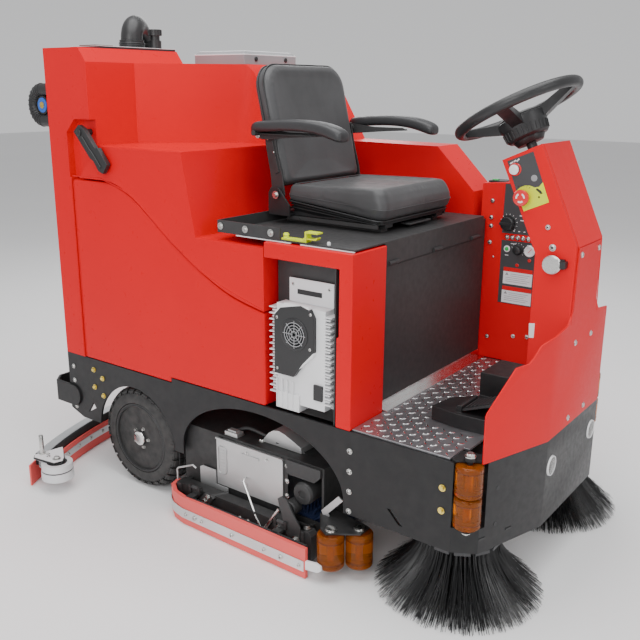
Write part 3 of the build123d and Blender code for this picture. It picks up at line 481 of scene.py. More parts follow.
# ---- side brooms and brush rolls ----------------------------------------------------------
def broom(name, side):
    """A disc with clipped tufts of long bristles that splay out to the floor."""
    x, y = 703.0, side * 308.0
    root_z, tufts, steps = 162.0, 52, 6

    def bristle(base_a, ring_r, reach, low):
        a = base_a + rng.gauss(0, 0.018)
        tip_a = a + rng.gauss(0, 0.060)
        r0 = ring_r + rng.uniform(-5, 5)
        r1 = min(reach + rng.gauss(0, 7) - abs(rng.gauss(0, 10)), 235.0)
        tip_z = low + abs(rng.gauss(0, 5))
        thick = rng.uniform(0.9, 1.6)
        bow = rng.uniform(0.72, 1.0)
        rings = []
        for step in range(steps):
            t = step / (steps - 1)
            aa = a + (tip_a - a) * t
            centre = Vector((*polar((x, y), r0 + (r1 - r0) * (t ** (1.15 + 0.5 * bow)), aa),
                             root_z + (tip_z - root_z) * (t ** 0.98)))
            width = thick * (1 - 0.45 * t)
            out = Vector((math.cos(aa), math.sin(aa), 0.6)) * width * 0.8
            across = Vector((-math.sin(aa), math.cos(aa), 0)) * width
            rings.append([bm.verts.new(centre + across), bm.verts.new(centre + out),
                          bm.verts.new(centre - across)])
        skin(bm, rings)

    bm = bmesh.new()
    rows = ((100, 234, 2.0, 13), (88, 214, 2.0, 9), (72, 176, 3.0, 9))
    for row, (ring_r, reach, low, count) in enumerate(rows):
        for i in range(tufts):
            for _ in range(count):
                bristle(2 * math.pi * (i + 0.33 * row) / tufts, ring_r, reach, low)
    piece(f"broom_bristles_{name}", bm, f"broom_{name}", "bristle", sharp=80,
          replaces=(f"broom_{name}",))
    bm = bmesh.new()
    lathe(bm, (x, y, 0), UP, [(160, 60), (160, 106), (164, 110), (180, 110), (186, 104), (186, 15), (160, 15),
                              (160, 60)], 72)
    for a in turns(tufts):
        tuft = Matrix.Rotation(a, 4, "Z") @ Matrix.Translation((96, 0, 156.5))
        bmesh.ops.create_cone(bm, cap_ends=True, segments=10, radius1=5.6, radius2=5.0, depth=13,
                              matrix=Matrix.Translation((x, y, 0)) @ tuft)
    piece(f"broom_disc_{name}", bm, f"broom_{name}", "satin_black", edge=1.0)
    bm = bmesh.new()
    for a in turns(12):
        turn = Matrix.Translation((x, y, 0)) @ Matrix.Rotation(a, 4, "Z")
        bmesh.ops.transform(bm, matrix=turn, verts=box(bm, 101, 109, -22, 22, 153, 163))
    for a in turns(4):
        hex_bolt(bm, (*polar((x, y), 70, a), 186), UP, 6, 5, 9)
    piece(f"broom_clips_{name}", bm, f"broom_{name}", "panel_print", edge=0.8)


for _name, _side in SIDES:
    broom(_name, _side)


def brush_roll(key, x):
    """A core with spiral rows of short tufts."""
    bm = bmesh.new()
    rod(bm, (x, -420, 74), (x, 420, 74), 42, 32)
    rod(bm, (x, -440, 74), (x, 440, 74), 12, 24)
    rows, per_row = 16, 46
    for row in range(rows):
        for i in range(per_row):
            y = -412 + 824 * (i + 0.5 * (row % 2)) / per_row
            a = 2 * math.pi * row / rows + 0.9 * math.sin(math.pi * y / 824)
            out = Vector((math.cos(a), 0, math.sin(a)))
            base = Vector((x, y, 74)) + out * 40
            for _ in range(3):
                lean = Vector((rng.uniform(-3, 3), rng.uniform(-4, 4), rng.uniform(-3, 3)))
                rod(bm, base + lean * 0.4, Vector((x, y, 74)) + out * 69.5 + lean * 0.5, 2.6, 5, 1.8)
    piece(f"brush_roll_{key}_tufts", bm, f"brush_{key}", "bristle_blue", sharp=60,
          replaces=(f"brush_roll_{key}",))


brush_roll("rear", -150.0)
brush_roll("front", 245.0)


# ---- seat ---------------------------------------------------------------------------------
VOXEL = 0.004


def soft_form(name, bm, body, stands_for, cap):
    """Swells a padded form with cloth pressure, by cap millimetres at most, and keeps the result."""
    bmesh.ops.recalc_face_normals(bm, faces=bm.faces)
    bmesh.ops.scale(bm, vec=(MM, MM, MM), verts=bm.verts)
    mesh = bpy.data.meshes.new(name)
    bm.to_mesh(mesh)
    bm.free()
    obj = bpy.data.objects.new(name, mesh)
    bpy.context.scene.collection.objects.link(obj)
    remesh = obj.modifiers.new("remesh", "REMESH")
    remesh.mode = "VOXEL"
    remesh.voxel_size = VOXEL
    bpy.context.view_layer.objects.active = obj

    def keep(modifier):
        with bpy.context.temp_override(object=obj, active_object=obj):
            bpy.ops.object.modifier_apply(modifier=modifier)

    def relax(times):
        obj.modifiers.new("relax", "SMOOTH").iterations = times
        keep("relax")

    keep("remesh")
    relax(2)
    start = [v.co.copy() for v in obj.data.vertices]
    cloth = obj.modifiers.new("cloth", "CLOTH")
    cloth.settings.effector_weights.gravity = 0.0
    for setting, value in (("use_pressure", True), ("uniform_pressure_force", 4.0), ("quality", 5),
                           ("mass", 0.4), ("tension_stiffness", 25), ("compression_stiffness", 25),
                           ("bending_stiffness", 6.0)):
        setattr(cloth.settings, setting, value)
    cloth.collision_settings.use_collision = False
    cloth.point_cache.frame_start = 1
    cloth.point_cache.frame_end = 20
    for f in range(1, 21):
        bpy.context.scene.frame_set(f)
    shaped = obj.evaluated_get(bpy.context.evaluated_depsgraph_get()).to_mesh()
    moved = [v.co.copy() for v in shaped.vertices]
    obj.modifiers.remove(cloth)
    bpy.context.scene.frame_set(1)
    for v, a, b in zip(obj.data.vertices, start, moved):
        step = b - a
        if step.length > cap * MM:
            step = step.normalized() * cap * MM
        v.co = a + step
    relax(1)
    for face in obj.data.polygons:
        face.use_smooth = True
    sub = obj.modifiers.new("subdivision", "SUBSURF")
    sub.levels = sub.render_levels = 1
    obj.data.materials.append(MAT["vinyl"])
    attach(obj, body)
    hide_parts(stands_for)


def rounded(x0, x1, y0, y1, radii, steps=6):
    """A rectangle with four corner radii, in order (x1,y1), (x0,y1), (x0,y0), (x1,y0)."""
    corners = ((x1, y1, 0), (x0, y1, 90), (x0, y0, 180), (x1, y0, 270))
    made = []
    for (cx, cy, start), r in zip(corners, radii):
        ox = cx - r if cx == x1 else cx + r
        oy = cy - r if cy == y1 else cy + r
        for k in range(steps + 1):
            a = math.radians(start + 90 * k / steps)
            made.append((ox + r * math.cos(a), oy + r * math.sin(a)))
    return made


def cushion():
    """Seat cushion: a wedge with flared sides, a raised rim and a dished middle."""
    def under(px):
        return 1011 - 0.108 * (px - 16)

    def ridge(px):
        return 1055 + 0.02 * (px - 16)

    def ring(inset, front, part, drop=0.0, radii=(30, 14, 14, 30)):
        made = []
        for px, py in rounded(14 + inset * 0.3, 366 - front, -207 + inset, 207 - inset, radii):
            made.append(Vector((px, py, under(px) + (ridge(px) - under(px)) * part - drop)))
        return made
    bm = bmesh.new()
    grid_solid(bm, [ring(7, 19, 0.0), ring(1, 9, 0.10), ring(0, 2, 0.35), ring(2, 6, 0.6), ring(6, 16, 0.85),
                    ring(10, 25, 0.98), ring(16, 32, 1.03), ring(24, 40, 1.01), ring(32, 52, 1.0, 4),
                    ring(46, 70, 1.0, 9), ring(70, 96, 1.0, 12), ring(110, 130, 1.0, 13)])
    soft_form("seat_cushion_form", bm, "seat", "seat_cushion", 1.0)


def lean(along, out, y):
    """A point of the leaning backrest: along it, behind its front face, and across."""
    s, c = math.sin(math.radians(13)), math.cos(math.radians(13))
    return Vector((7 - along * s - out * c, y, 1066 + along * c - out * s))


def backrest_pad():
    """Backrest: a rolled front panel with round upper corners on a deeper back shell."""
    def ring(inset, out, hollow=0.0):
        pts = rounded(-10 + inset * 0.5, 357 - inset, -205 + inset, 205 - inset,
                      (70 - inset * 0.6, 16, 16, 70 - inset * 0.6), 8)
        return [lean(px, out + hollow * (1 - (abs(py) / 200) ** 2), py) for px, py in pts]
    bm = bmesh.new()
    rows = [ring(10, 60), ring(3, 55), ring(1, 40), ring(1, 26), ring(3, 15), ring(9, 7), ring(17, 3.5),
            ring(26, 3, 2.0), ring(44, 4, 6.0), ring(80, 5, 8.0), ring(130, 6, 9.0)]
    grid_solid(bm, rows)
    soft_form("seat_backrest_form", bm, "backrest", "seat_backrest", 1.2)


cushion()
backrest_pad()


def arm_pad(name, side):
    """Skinned foam arm: humped, thicker at its drooping front end."""
    y = side * 258
    bm = bmesh.new()
    rows = []
    stations = ((-76, 5, 9, 10), (-72, 17, 17, 14.5), (-50, 22, 26, 16), (0, 25, 26.5, 17),
                (60, 29, 26.5, 17), (120, 29, 27, 17.5), (170, 25, 28, 18.5), (210, 17, 29.5, 20),
                (240, 8, 30, 20), (256, 3, 27, 17), (263, 1, 18, 10))
    for px, lift, half, tall in stations:
        ring = []
        for a in turns(20):
            c, s = math.cos(a), math.sin(a)
            ring.append(Vector((px, y + half * math.copysign(abs(c) ** 0.62, c),
                                1206 + lift + tall * math.copysign(abs(s) ** 0.72, s))))
        rows.append(ring)
    grid_solid(bm, rows)
    obj = piece(f"arm_pad_{name}", bm, f"armrest_{name}", "foam", sharp=80,
                replaces=(f"armrest_{name}",))
    sub = obj.modifiers.new("subdivision", "SUBSURF")
    sub.levels = sub.render_levels = 2
    bm = bmesh.new()
    side_plate(bm, [(-84, 1194), (-84, 1216), (-60, 1222), (40, 1213), (150, 1213), (170, 1205), (60, 1198),
                    (-30, 1190), (-62, 1188)], side * 231, side * 234)
    box(bm, -60, 150, side * 232, side * 262, 1205, 1208)
    piece(f"arm_bracket_{name}", bm, f"armrest_{name}", "satin_black", edge=0.8)
    bm = bmesh.new()
    lathe(bm, (-56, side * 229, 1209), (0, side, 0), [(0, 11), (2, 11), (2, 6)], 24)
    hex_bolt(bm, (-78, side * 234, 1200), (0, side, 0), 6.5, 5, 9)
    piece(f"arm_bolt_{name}", bm, f"armrest_{name}", "zinc")


for _name, _side in SIDES:
    arm_pad(_name, _side)

# back shell edge, side irons and their bolts
bm = bmesh.new()
for side in (-1, 1):
    side_plate(bm, [(-42, 1010), (-4, 1010), (6, 1022), (-4, 1084), (-24, 1150), (-40, 1226), (-74, 1226),
                    (-70, 1180), (-50, 1085)], side * 205.5, side * 210.5)
    side_plate(bm, [(-30, 1084), (-14, 1092), (-38, 1184), (-52, 1182)], side * 210.5, side * 214)
    rod(bm, (-56, side * 205, 1209), (-56, side * 228, 1209), 12, 28)
    rod(bm, (-56, side * 228, 1209), (-56, side * 282, 1209), 8, 24)
piece("back_irons", bm, "backrest", "satin_black", edge=1.0)
bm = bmesh.new()
for side in (-1, 1):
    hex_bolt(bm, (-22, side * 212.5, 1026), (0, side, 0), 7, 6, 11)
    screw(bm, (-60, side * 210.5, 1190), (0, side, 0), 5, 3)
    screw(bm, (-34, side * 214, 1150), (0, side, 0), 3.5, 2.5)
piece("back_bolts", bm, "backrest", "zinc")
bm = bmesh.new()
outline = rounded(-9, 356, -204, 204, (69, 15, 15, 69), 10)
for behind, thick in ((22, 2.4), (44, 3.0)):
    tube(bm, [lean(a, behind, b) for a, b in outline + outline[:1]], thick, 8)
piece("back_piping", bm, "backrest", "black_plastic", sharp=80)
bm = bmesh.new()
outline = rounded(15, 350, -205, 205, (30, 14, 14, 30), 8)
inner = rounded(18, 344, -199, 199, (28, 12, 12, 28), 8)
seams = ((outline, 1008, 0.108, 3.0), (inner, 999, 0.098, 2.4), (inner, 989, 0.082, 2.0))
for loop, z, slope, thick in seams:
    tube(bm, [Vector((a, b, z - slope * (a - 16))) for a, b in loop + loop[:1]], thick, 8)
grid_solid(bm, [[Vector((a, b, 966)) for a, b in rounded(24, 330, -190, 190, (24, 12, 12, 24), 8)],
                [Vector((a, b, 1007 - 0.108 * (a - 16)))
                 for a, b in rounded(20, 342, -197, 197, (26, 12, 12, 26), 8)]])
piece("cushion_piping", bm, "seat", "black_plastic", sharp=80)


# ---- floor plate, bolts and lamps ---------------------------------------------------------
def tread_bars():
    """Raised lens bars of the floor plate, turned one way and the other, clear of what stands on it."""
    bm = bmesh.new()
    pitch, floor_z, length, width, tall = 26.0, 448, 22.0, 4.2, 1.4

    def lens(share_x, share_y, z):
        spots = [(math.cos(a) * length * share_x, math.sin(a) * width * share_y, z) for a in turns(10)]
        return [bm.verts.new(turn @ Vector(spot)) for spot in spots]

    for i in range(int(310 / pitch)):
        for j in range(int(790 / pitch)):
            cx, cy = 441 + pitch * (i + 0.5), -449 + pitch * (j + 0.5)
            inside = 446 < cx < 736 and -440 < cy < (330 if cx < 720 else 300)
            housing = cx > 630 and -120 < cy < 44
            heel = cx > 562 and -284 < cy < -98
            if inside and not housing and not heel:
                slant = math.radians(45 if (i + j) % 2 else -45)
                turn = Matrix.Translation((cx, cy, floor_z)) @ Matrix.Rotation(slant, 4, "Z")
                rim, top = lens(0.5, 0.5, -0.3), lens(0.32, 0.22, tall)
                skin(bm, (rim, top))
                bm.faces.new(top)
    piece("tread_bars", bm, "chassis", "bright_steel", sharp=20)


tread_bars()

bm = bmesh.new()
gold = bmesh.new()
for side in (-1, 1):
    out = (0, side, 0)
    for x, z in [(433, z) for z in (385, 324, 263, 203)] + [(-764, z) for z in (378, 325, 225)]:
        screw(bm, (x, side * 461, z), out, 6.5, 4.5, 8.5)
    for x, z in ((719, 365), (719, 301), (-652, 388), (-607, 365), (-652, 324), (-607, 301)):
        hex_bolt(gold, (x, side * 461, z), out, 6.5, 5, 9.5)
for y, z in ((-55, 682), (66, 681), (-58, 465), (62, 466), (-66, 925), (66, 925)):
    screw(bm, (885, y, z), FORWARD, 7, 3.5, 8.5)
piece("silver_screws", bm, "chassis", "zinc", replaces=("frame_bolts",))
piece("gold_bolts", gold, "chassis", "yellow_zinc")

for tag, s in SIDES:
    lamp = (885, s * 155, 358)
    bm = bmesh.new()
    lathe(bm, lamp, FORWARD, [(-24, 29), (1, 29), (4, 27.5), (4, 25.5), (0, 25.5), (-16, 12),
                              (-18, 0.01)], 48)
    piece(f"lamp_bowl_{tag}", bm, "chassis", "white_gloss",
          replaces=("headlamps",) if tag == "right" else ())
    bm = bmesh.new()
    lathe(bm, lamp, FORWARD, [(-1, 25.3), (1.5, 25.3), (2.8, 18), (3.4, 8), (3.5, 0.01)], 48)
    lathe(bm, lamp, FORWARD, [(-1, 25.3), (-0.5, 18), (-0.4, 0.01)], 48)
    piece(f"lamp_lens_{tag}", bm, "chassis", "lamp_glass")


# ---- column and control box: printed panels, switches and knobs ---------------------------
COLUMN_Y, BOX_Y = -100, 342  # the faces of the column and of the control box that look to the right
PRINT_Y = BOX_Y - 0.8
ESTOP, HORN, SELECTOR = (727, 1065), (699, 1136), (499, 918)  # centres in X and Z
TURN_KNOB, GAUGE, START = (537, 833), (578, 833), (499, 833)


def facing_right(bm, points, y, thick=0.7):
    """A thin panel on a face that looks to the right, from its outline in X and Z."""
    side_plate(bm, points, y, y - thick)


def rect(x0, x1, z0, z1):
    return [(x0, z0), (x1, z0), (x1, z1), (x0, z1)]


def turned(bm, centre, y, profile, sides=40):
    """A turned part that points to the right, with its centre in X and Z."""
    lathe(bm, (centre[0], y, centre[1]), RIGHTWARD, profile, sides)


def spoke(bm, centre, y, a, r0, r1, radius):
    """A thin radial bar on a face that looks to the right."""
    (xa, za), (xb, zb) = polar(centre, r0, a), polar(centre, r1, a)
    rod(bm, (xa, y, za), (xb, y, zb), radius, 6)


bm = bmesh.new()
wave = [(706, 1080), (716, 1090), (728, 1096), (742, 1097), (756, 1093), (768, 1096), (777, 1108)]
facing_right(bm, [(675, 1156), (745, 1185)] + list(reversed(wave)), COLUMN_Y)
facing_right(bm, [(479, 1044), (592, 1050), (594, 884), (477, 884)], BOX_Y)
facing_right(bm, [(478, 861), (597, 861), (597, 649), (478, 649)], BOX_Y)
piece("panel_prints", bm, "chassis", "panel_print")
bm = bmesh.new()
facing_right(bm, wave + [(798, 1058), (731, 1028)], COLUMN_Y, 0.75)
piece("lime_print", bm, "chassis", "lime_print")
bm = bmesh.new()
turned(bm, (753, 1117), COLUMN_Y - 0.6, [(0, 8.5), (0.6, 8.5), (0.8, 7), (0.8, 0.01)], 28)
piece("grey_dot", bm, "chassis", "grey_print")
bm = bmesh.new()
turned(bm, HORN, COLUMN_Y, [(0.5, 17), (2, 17), (3.4, 15.5), (3.4, 13.4), (0.5, 13.4)], 36)
piece("button_bezels", bm, "chassis", "red_gloss")
bm = bmesh.new()
turned(bm, ESTOP, -120, [(-4, 20.4), (-1, 21.5), (0.6, 20.5), (1.2, 16), (1.0, 0.01)], 36)
piece("estop_cap", bm, "estop_button", "red_gloss")
bm = bmesh.new()
for a in turns(3):
    sweep = [a + math.radians(70 * t / 6) for t in range(7)]
    side_plate(bm, [polar(ESTOP, 13, b) for b in sweep] + [polar(ESTOP, 8.5, b) for b in reversed(sweep)],
               -120.9, -121.6)
piece("estop_arrows", bm, "estop_button", "white_gloss")
bm = bmesh.new()
turned(bm, HORN, -112, [(-3, 12.6), (-0.2, 12.9), (0.7, 11), (0.9, 0.01)], 36)
piece("horn_cap", bm, "horn_button", "white_gloss")

# printed scale marks and labels without words
bm = bmesh.new()
for i in range(5):
    spoke(bm, ESTOP, -100.9, math.radians(60 + 15 * i), 28, 33, 0.6)
facing_right(bm, [(762, 1092), (774, 1086), (779, 1079), (774, 1077), (768, 1082), (760, 1087)], -100.7, 0.3)
turned(bm, (770, 1069), -100.7, [(0, 2.6), (0.4, 2.6), (0.4, 0.01)], 14)
piece("dark_marks", bm, "chassis", "black_plastic")
bm = bmesh.new()
for label in (rect(492, 593, 716, 758), rect(491, 594, 652, 694)):
    facing_right(bm, label, PRINT_Y, 0.5)
for a, b in (((684, 1150), (692, 1155)), ((694, 1156), (700, 1160)), ((702, 1157), (708, 1164))):
    rod(bm, (a[0], -100.9, a[1]), (b[0], -100.9, b[1]), 2.0, 8)
for x in (504, 522, 540, 558, 576):
    facing_right(bm, rect(x - 6, x, 892.5, 895.5), PRINT_Y, 0.4)
for i in range(9):
    a = math.radians(-40 + 25 * i)
    spoke(bm, TURN_KNOB, 341, a, 21, 24, 0.8)
    spoke(bm, SELECTOR, 341, a, 27, 31, 0.8)
for x, z, w, h in ((548, 945, 26, 3), (548, 930, 20, 3), (556, 958, 16, 3), (520, 852, 18, 2),
                   (576, 852, 16, 2), (499, 812, 12, 2.4), (545, 1010, 60, 2.5), (540, 1000, 48, 2.5)):
    facing_right(bm, rect(x - w / 2, x + w / 2, z - h / 2, z + h / 2), PRINT_Y, 0.4)
piece("white_prints", bm, "chassis", "white_paint")
bm = bmesh.new()
for label in (rect(492, 593, 758.6, 772), rect(491, 594, 694.6, 708)):
    facing_right(bm, label, PRINT_Y, 0.5)
for spot in ((579, 803), (538, 782)):
    turned(bm, spot, 341, [(0, 6), (1, 6), (2, 5), (2, 3), (0.4, 3)], 20)
piece("red_prints", bm, "chassis", "red_gloss")
bm = bmesh.new()
for x0, z0, z1 in ((497, 716, 758), (496, 652, 694)):
    facing_right(bm, [(x0 + 2, z1 - 12), (x0 + 14, z1 - 12), (x0 + 8, z1 - 3)], 340.6, 0.3)
    for i in range(5):
        z = z1 - 8 - i * 6.4
        facing_right(bm, rect(x0 + (20 if i < 2 else 4), x0 + 88 - 7 * (i % 3), z, z + 1.3), 340.6, 0.3)
piece("label_lines", bm, "chassis", "grey_print")
bm = bmesh.new()
for i in range(5):
    turned(bm, (497 + i * 18.2, 872), BOX_Y, [(0, 8), (2.2, 8), (3.2, 6.8), (3.2, 4.5), (7, 4.0), (8, 2.6),
                                              (8.2, 0.01)], 24)
for x, z in ((437, 986), (436, 931), (437, 903), (436, 848)):
    screw(bm, (x, BOX_Y, z), RIGHTWARD, 5.5, 3, 7.5)
screw(bm, (451, BOX_Y, 800), RIGHTWARD, 3.5, 2)
for x, z, r in ((801, 993, 5.0), (818, 941, 7.5)):
    screw(bm, (x, COLUMN_Y, z), RIGHTWARD, r, 3, r + 2)
turned(bm, (823, 898), -109, [(0, 24), (9, 24), (11, 22.6), (11, 0.01)])
for i in range(5):
    turned(bm, (823, 898), -109 - 1.6 * i, [(0.2, 24.2), (0.5, 24.8), (0.9, 24.8), (1.2, 24.2)])
piece("panel_metal", bm, "chassis", "zinc")
bm = bmesh.new()
box(bm, 815, 855, -109, COLUMN_Y, 888, 914)
box(bm, 845, 862, -118, COLUMN_Y, 892, 910)
turned(bm, TURN_KNOB, BOX_Y, [(0, 17), (3, 17), (4, 15.5), (12, 13.5), (16, 13), (17, 11), (17, 0.01)], 20)
turned(bm, SELECTOR, BOX_Y, [(0.7, 27), (1.4, 27), (2.0, 25), (2.0, 22.5)])
piece("panel_black", bm, "chassis", "black_plastic", edge=0.8)
bm = bmesh.new()
turned(bm, START, BOX_Y, [(3.0, 7), (5.0, 6), (5.5, 0.01)], 24)
piece("green_button", bm, "chassis", "green_gloss")
bm = bmesh.new()
turned(bm, GAUGE, BOX_Y, [(0, 18), (5, 18), (6.5, 16), (6.5, 14.5), (4.5, 14), (4.5, 0.01)])
turned(bm, START, BOX_Y, [(0, 11), (2.4, 11), (3.2, 9.5), (3.2, 7.2)], 28)
piece("gauge", bm, "chassis", "white_gloss")
bm = bmesh.new()
for a, b in (((578, 833), (585, 842)), ((574, 829), (578, 833))):
    rod(bm, (a[0], 337.2, a[1]), (b[0], 337.2, b[1]), 0.8, 6)
piece("gauge_needle", bm, "chassis", "red_gloss")
bm = bmesh.new()
turned(bm, SELECTOR, 322, [(-3, 22.4), (0, 22), (1.4, 19), (1.4, 17.2), (0.4, 17)])
for a in turns(24):
    x, z = polar(SELECTOR, 22.2, a)
    rod(bm, (x, 323, z), (x, 340, z), 1.5, 6)
piece("selector_grip", bm, "selector_knob", "black_plastic")
bm = bmesh.new()
box(bm, 410, 470, 360, 420, 1043, 1049)
lathe(bm, (575, 395, 1053), UP, [(0, 12), (6, 12), (10, 17), (22, 18), (28, 13), (30, 0.01)], 28)
piece("box_top_parts", bm, "chassis", "black_plastic", edge=0.8)
bm = bmesh.new()
box(bm, 418, 436, 370, 388, 1049, 1053)
piece("box_top_light", bm, "chassis", "green_gloss", edge=1.0)

# folded seams of the red sheets
bm = bmesh.new()
for y in (-101, 101):
    tube(bm, [(884.5, y * 0.85, 948), (884.5, y * 0.99, 742)], 1.3, 8)
side_plate(bm, [(884, 947), (768, 1203), (766, 1200), (881, 946)], -88, 88)
piece("column_lip", bm, "chassis", "red_paint")

# front plate holes and slots, drawn as thin dark discs and slot shapes on the plate: painted shade standing
# for the dark inside of the openings
bm = bmesh.new()
along = Vector((885 - 810, 426 - 195, 0)).normalized()
out = Vector((along.y, -along.x, 0))
for s in (-1, 1):
    for y, z in ((369, 361), (370, 259)):
        lathe(bm, (828.4, s * y, z), (out.x, s * abs(out.y), 0), [(0, 6), (0.6, 6), (0.6, 0.01)], 20)
    for x, y, z in ((845, 319, 229), (814, 415, 231)):
        place = Matrix.Translation((x + 0.5, s * y, z)) @ frame_of((out.x, s * abs(out.y), 0))
        prism(bm, [(-11, -3), (11, -3), (13, 0), (11, 3), (-11, 3), (-13, 0)], place, 0.6)
piece("nose_hole_shade", bm, "chassis", "hose_rubber")


# ---- seat seams and backrest bolts ---------------------------------------------------------
bm = bmesh.new()
seam = rounded(21, 327, -184, 184, (26, 12, 12, 26), 8)
tube(bm, [Vector((a, b, 1055.6 + 0.02 * (a - 16))) for a, b in seam + seam[:1]], 1.6, 8)
low_seam = rounded(14.5, 364, -206.4, 206.4, (30, 14, 14, 30), 8)
tube(bm, [Vector((a, b, 1027 - 0.063 * (a - 16))) for a, b in low_seam + low_seam[:1]], 1.2, 8)
piece("cushion_seam", bm, "seat", "vinyl", sharp=80)
bm = bmesh.new()
for s in (-1, 1):
    hex_bolt(bm, (-12, s * 232, 1025), (0, s, 0), 8, 6, 12)
piece("backrest_bolts", bm, "seat", "zinc")


# ---- seat tray trim -----------------------------------------------------------------------
bm = bmesh.new()
box(bm, 16, 214, -445, -438, 931, 933.4)
box(bm, 248, 424, -445, -438, 931, 933.4)
for x in (330, 60):
    lathe(bm, (x, -425, 938), UP, [(0, 5), (6, 5), (9, 3.5), (9, 0.01)], 16)
piece("tray_trim", bm, "seat_platform", "white_paint", edge=0.4)
bm = bmesh.new()
for x in (-47, 48, 142):
    hex_bolt(bm, (x, -440, 953), RIGHTWARD, 6, 5, 10.5)
piece("tray_bolts", bm, "seat_platform", "zinc")
bm = bmesh.new()
for s in (-1, 1):
    side_plate(bm, rect(10, 338, 951, 962), s * 196, s * 202)
    box(bm, 0, 340, s * 140, s * 160, 955, 962)
    screw(bm, (60, s * 202, 956), (0, s, 0), 3.5, 2)
box(bm, 330, 352, -60, 60, 949, 953)
tube(bm, [(352, -60, 951), (362, -60, 951), (362, 60, 951), (352, 60, 951)], 3.2, 10)
piece("seat_slides", bm, "seat", "satin_black", edge=0.6)
bm = bmesh.new()
box(bm, 417.6, 419.2, -292, 336, 862, 866)
box(bm, 417.6, 419.0, -292, 336, 448, 452)
piece("bay_panel_fold", bm, "chassis", "satin_black", edge=0.5)
bm = bmesh.new()
side_plate(bm, [(418.4, 474), (421, 474), (421, 451), (445, 451), (445, 448.3), (418.4, 448.3)], -292, 334)
piece("kick_strip", bm, "chassis", "bright_steel", edge=0.4)
bm = bmesh.new()
side_plate(bm, [(250, 946), (292, 946), (296, 951), (296, 955), (288, 951), (250, 950)], -433, -415)
lathe(bm, (184, -424, 950), UP, [(0, 9), (2, 9), (4, 6.5), (6, 6), (6, 0.01)], 20)
piece("latch_lip", bm, "seat_latch", "lime", edge=0.6)


# ---- tank seams, mouldings and top parts --------------------------------------------------
bm = bmesh.new()
for s in (-1, 1):
    for dx in (-7, 7):
        tube(bm, [(-692 + dx, s * 461.2, 432), (-692 + dx, s * 461.2, 1040)], 1.5, 8)
    split = curve_points([(-686, s * 461.2, 1056), (-560, s * 461.2, 1056), (-540, s * 461.2, 1054),
                          (-400, s * 461.2, 1010), (-240, s * 461.2, 894), (-80, s * 461.2, 798),
                          (128, s * 461.2, 732)], 8)
    tube(bm, split, 1.6, 8)
piece("tank_beads", bm, "chassis", "red_plastic")
bm = bmesh.new()
box(bm, -566, -357, 22, 278, 1456.2, 1458.6)
for x0, x1, y0, y1 in ((-578.6, -344.4, 9.4, 12), (-578.6, -344.4, 288, 290.6), (-347, -344.4, 12, 288)):
    box(bm, x0, x1, y0, y1, 1444, 1448)
piece("lid_trim", bm, "tank_lid", "white_paint", edge=1.2)
bm = bmesh.new()
for y in (70, 230):
    lathe(bm, (-345, y, 1432), (1, 0, 0), [(0, 8), (3, 8), (4.5, 5), (4.5, 0.01)], 24)
piece("lid_latches", bm, "tank_lid", "black_plastic", edge=0.8)
bm = bmesh.new()
box(bm, -766, -617, -374, -44, 1462.8, 1465)
piece("top_plate_skin", bm, "chassis", "pale_plastic", edge=1.0)
bm = bmesh.new()
box(bm, -722, -640, -372, -300, 1465, 1468)
piece("orange_strip", bm, "chassis", "amber_core", edge=0.8)
bm = bmesh.new()
for x, y in ((-675, -190), (-722, -105)):
    for i in range(3):
        lathe(bm, (x, y, 1466 + i * 6), UP, [(0, 42.5), (1, 43.5), (3, 43.5), (4, 42.5)], 40)
    lathe(bm, (x, y, 1485), UP, [(0, 38), (1, 41), (5, 41), (6, 38)], 40)
for a in turns(16):
    x, y = polar((-641, -115), 22, a)
    rod(bm, (x, y, 1508), (x, y, 1526), 1.6, 6)
piece("elbow_clamps", bm, "chassis", "black_plastic")
HOSE_MOUTH = (-838, 1278)
bm = bmesh.new()
for i in range(13):
    a = math.radians(-84 + 14 * i)
    middle = (-845 - 50 * math.cos(a), -438, HOSE_MOUTH[1] + 50 * math.sin(a))
    lathe(bm, middle, (math.sin(a), 0, math.cos(a)), [(-2, 20.2), (-1, 21.8), (1, 21.8), (2, 20.2)], 28)
rod(bm, (-838, -448, 1278), (-838, -428, 1278), 30, 40)
rod(bm, (-838, -438, 1278), (-796, -438, 1278), 9, 20)
piece("hose_ribs", bm, "chassis", "hose_rubber")
bm = bmesh.new()
turned(bm, HOSE_MOUTH, -448, [(0, 24), (2, 24), (3, 20), (2, 15)], 32)
piece("hose_cuff_blue", bm, "chassis", "blue_plastic")
bm = bmesh.new()
turned(bm, HOSE_MOUTH, -448, [(0, 11), (4, 11), (5, 8), (5, 0.01)], 32)
piece("hose_cuff_brass", bm, "chassis", "brass")


# ---- charger ------------------------------------------------------------------------------
FAN = (240, 682)
bm = bmesh.new()
cover = [(168, 556), (168, 728), (190, 752), (262, 768), (292, 760), (306, 736), (306, 640), (268, 600),
         (236, 556)]
side_plate(bm, cover, -446, -460.4)
turned(bm, FAN, -460, [(0, 47), (2, 47), (3, 45), (3, 40), (1, 39)], 48)
piece("fan_cover", bm, "chassis", "black_plastic", edge=2.5)
bm = bmesh.new()
for r in (10, 18, 26, 34):
    turned(bm, FAN, -461, [(0, r - 1.1), (1.5, r - 1.1), (1.5, r + 1.1), (0, r + 1.1)])
for a in turns(8):
    spoke(bm, FAN, -461.6, a, 5, 40, 1.2)
piece("fan_grille", bm, "chassis", "grey_print")
bm = bmesh.new()
for x, z in ((178, 572), (178, 722), (296, 748), (294, 648)):
    screw(bm, (x, -460.4, z), RIGHTWARD, 4.5, 2.5)
for x, z in ((200, 812), (325, 812), (205, 470)):
    screw(bm, (x, -447 if z < 500 else -410, z), RIGHTWARD, 5.5, 3, 8)
piece("charger_screws", bm, "chassis", "zinc")
bm = bmesh.new()
for i in range(15):
    z = 492 + i * 18
    for x in (142, 336):
        box(bm, x, x + 24, -451, -409, z, z + 3.2)
for i in range(4):
    box(bm, 170 + i * 19, 172.6 + i * 19, -456, -450, 455, 540)
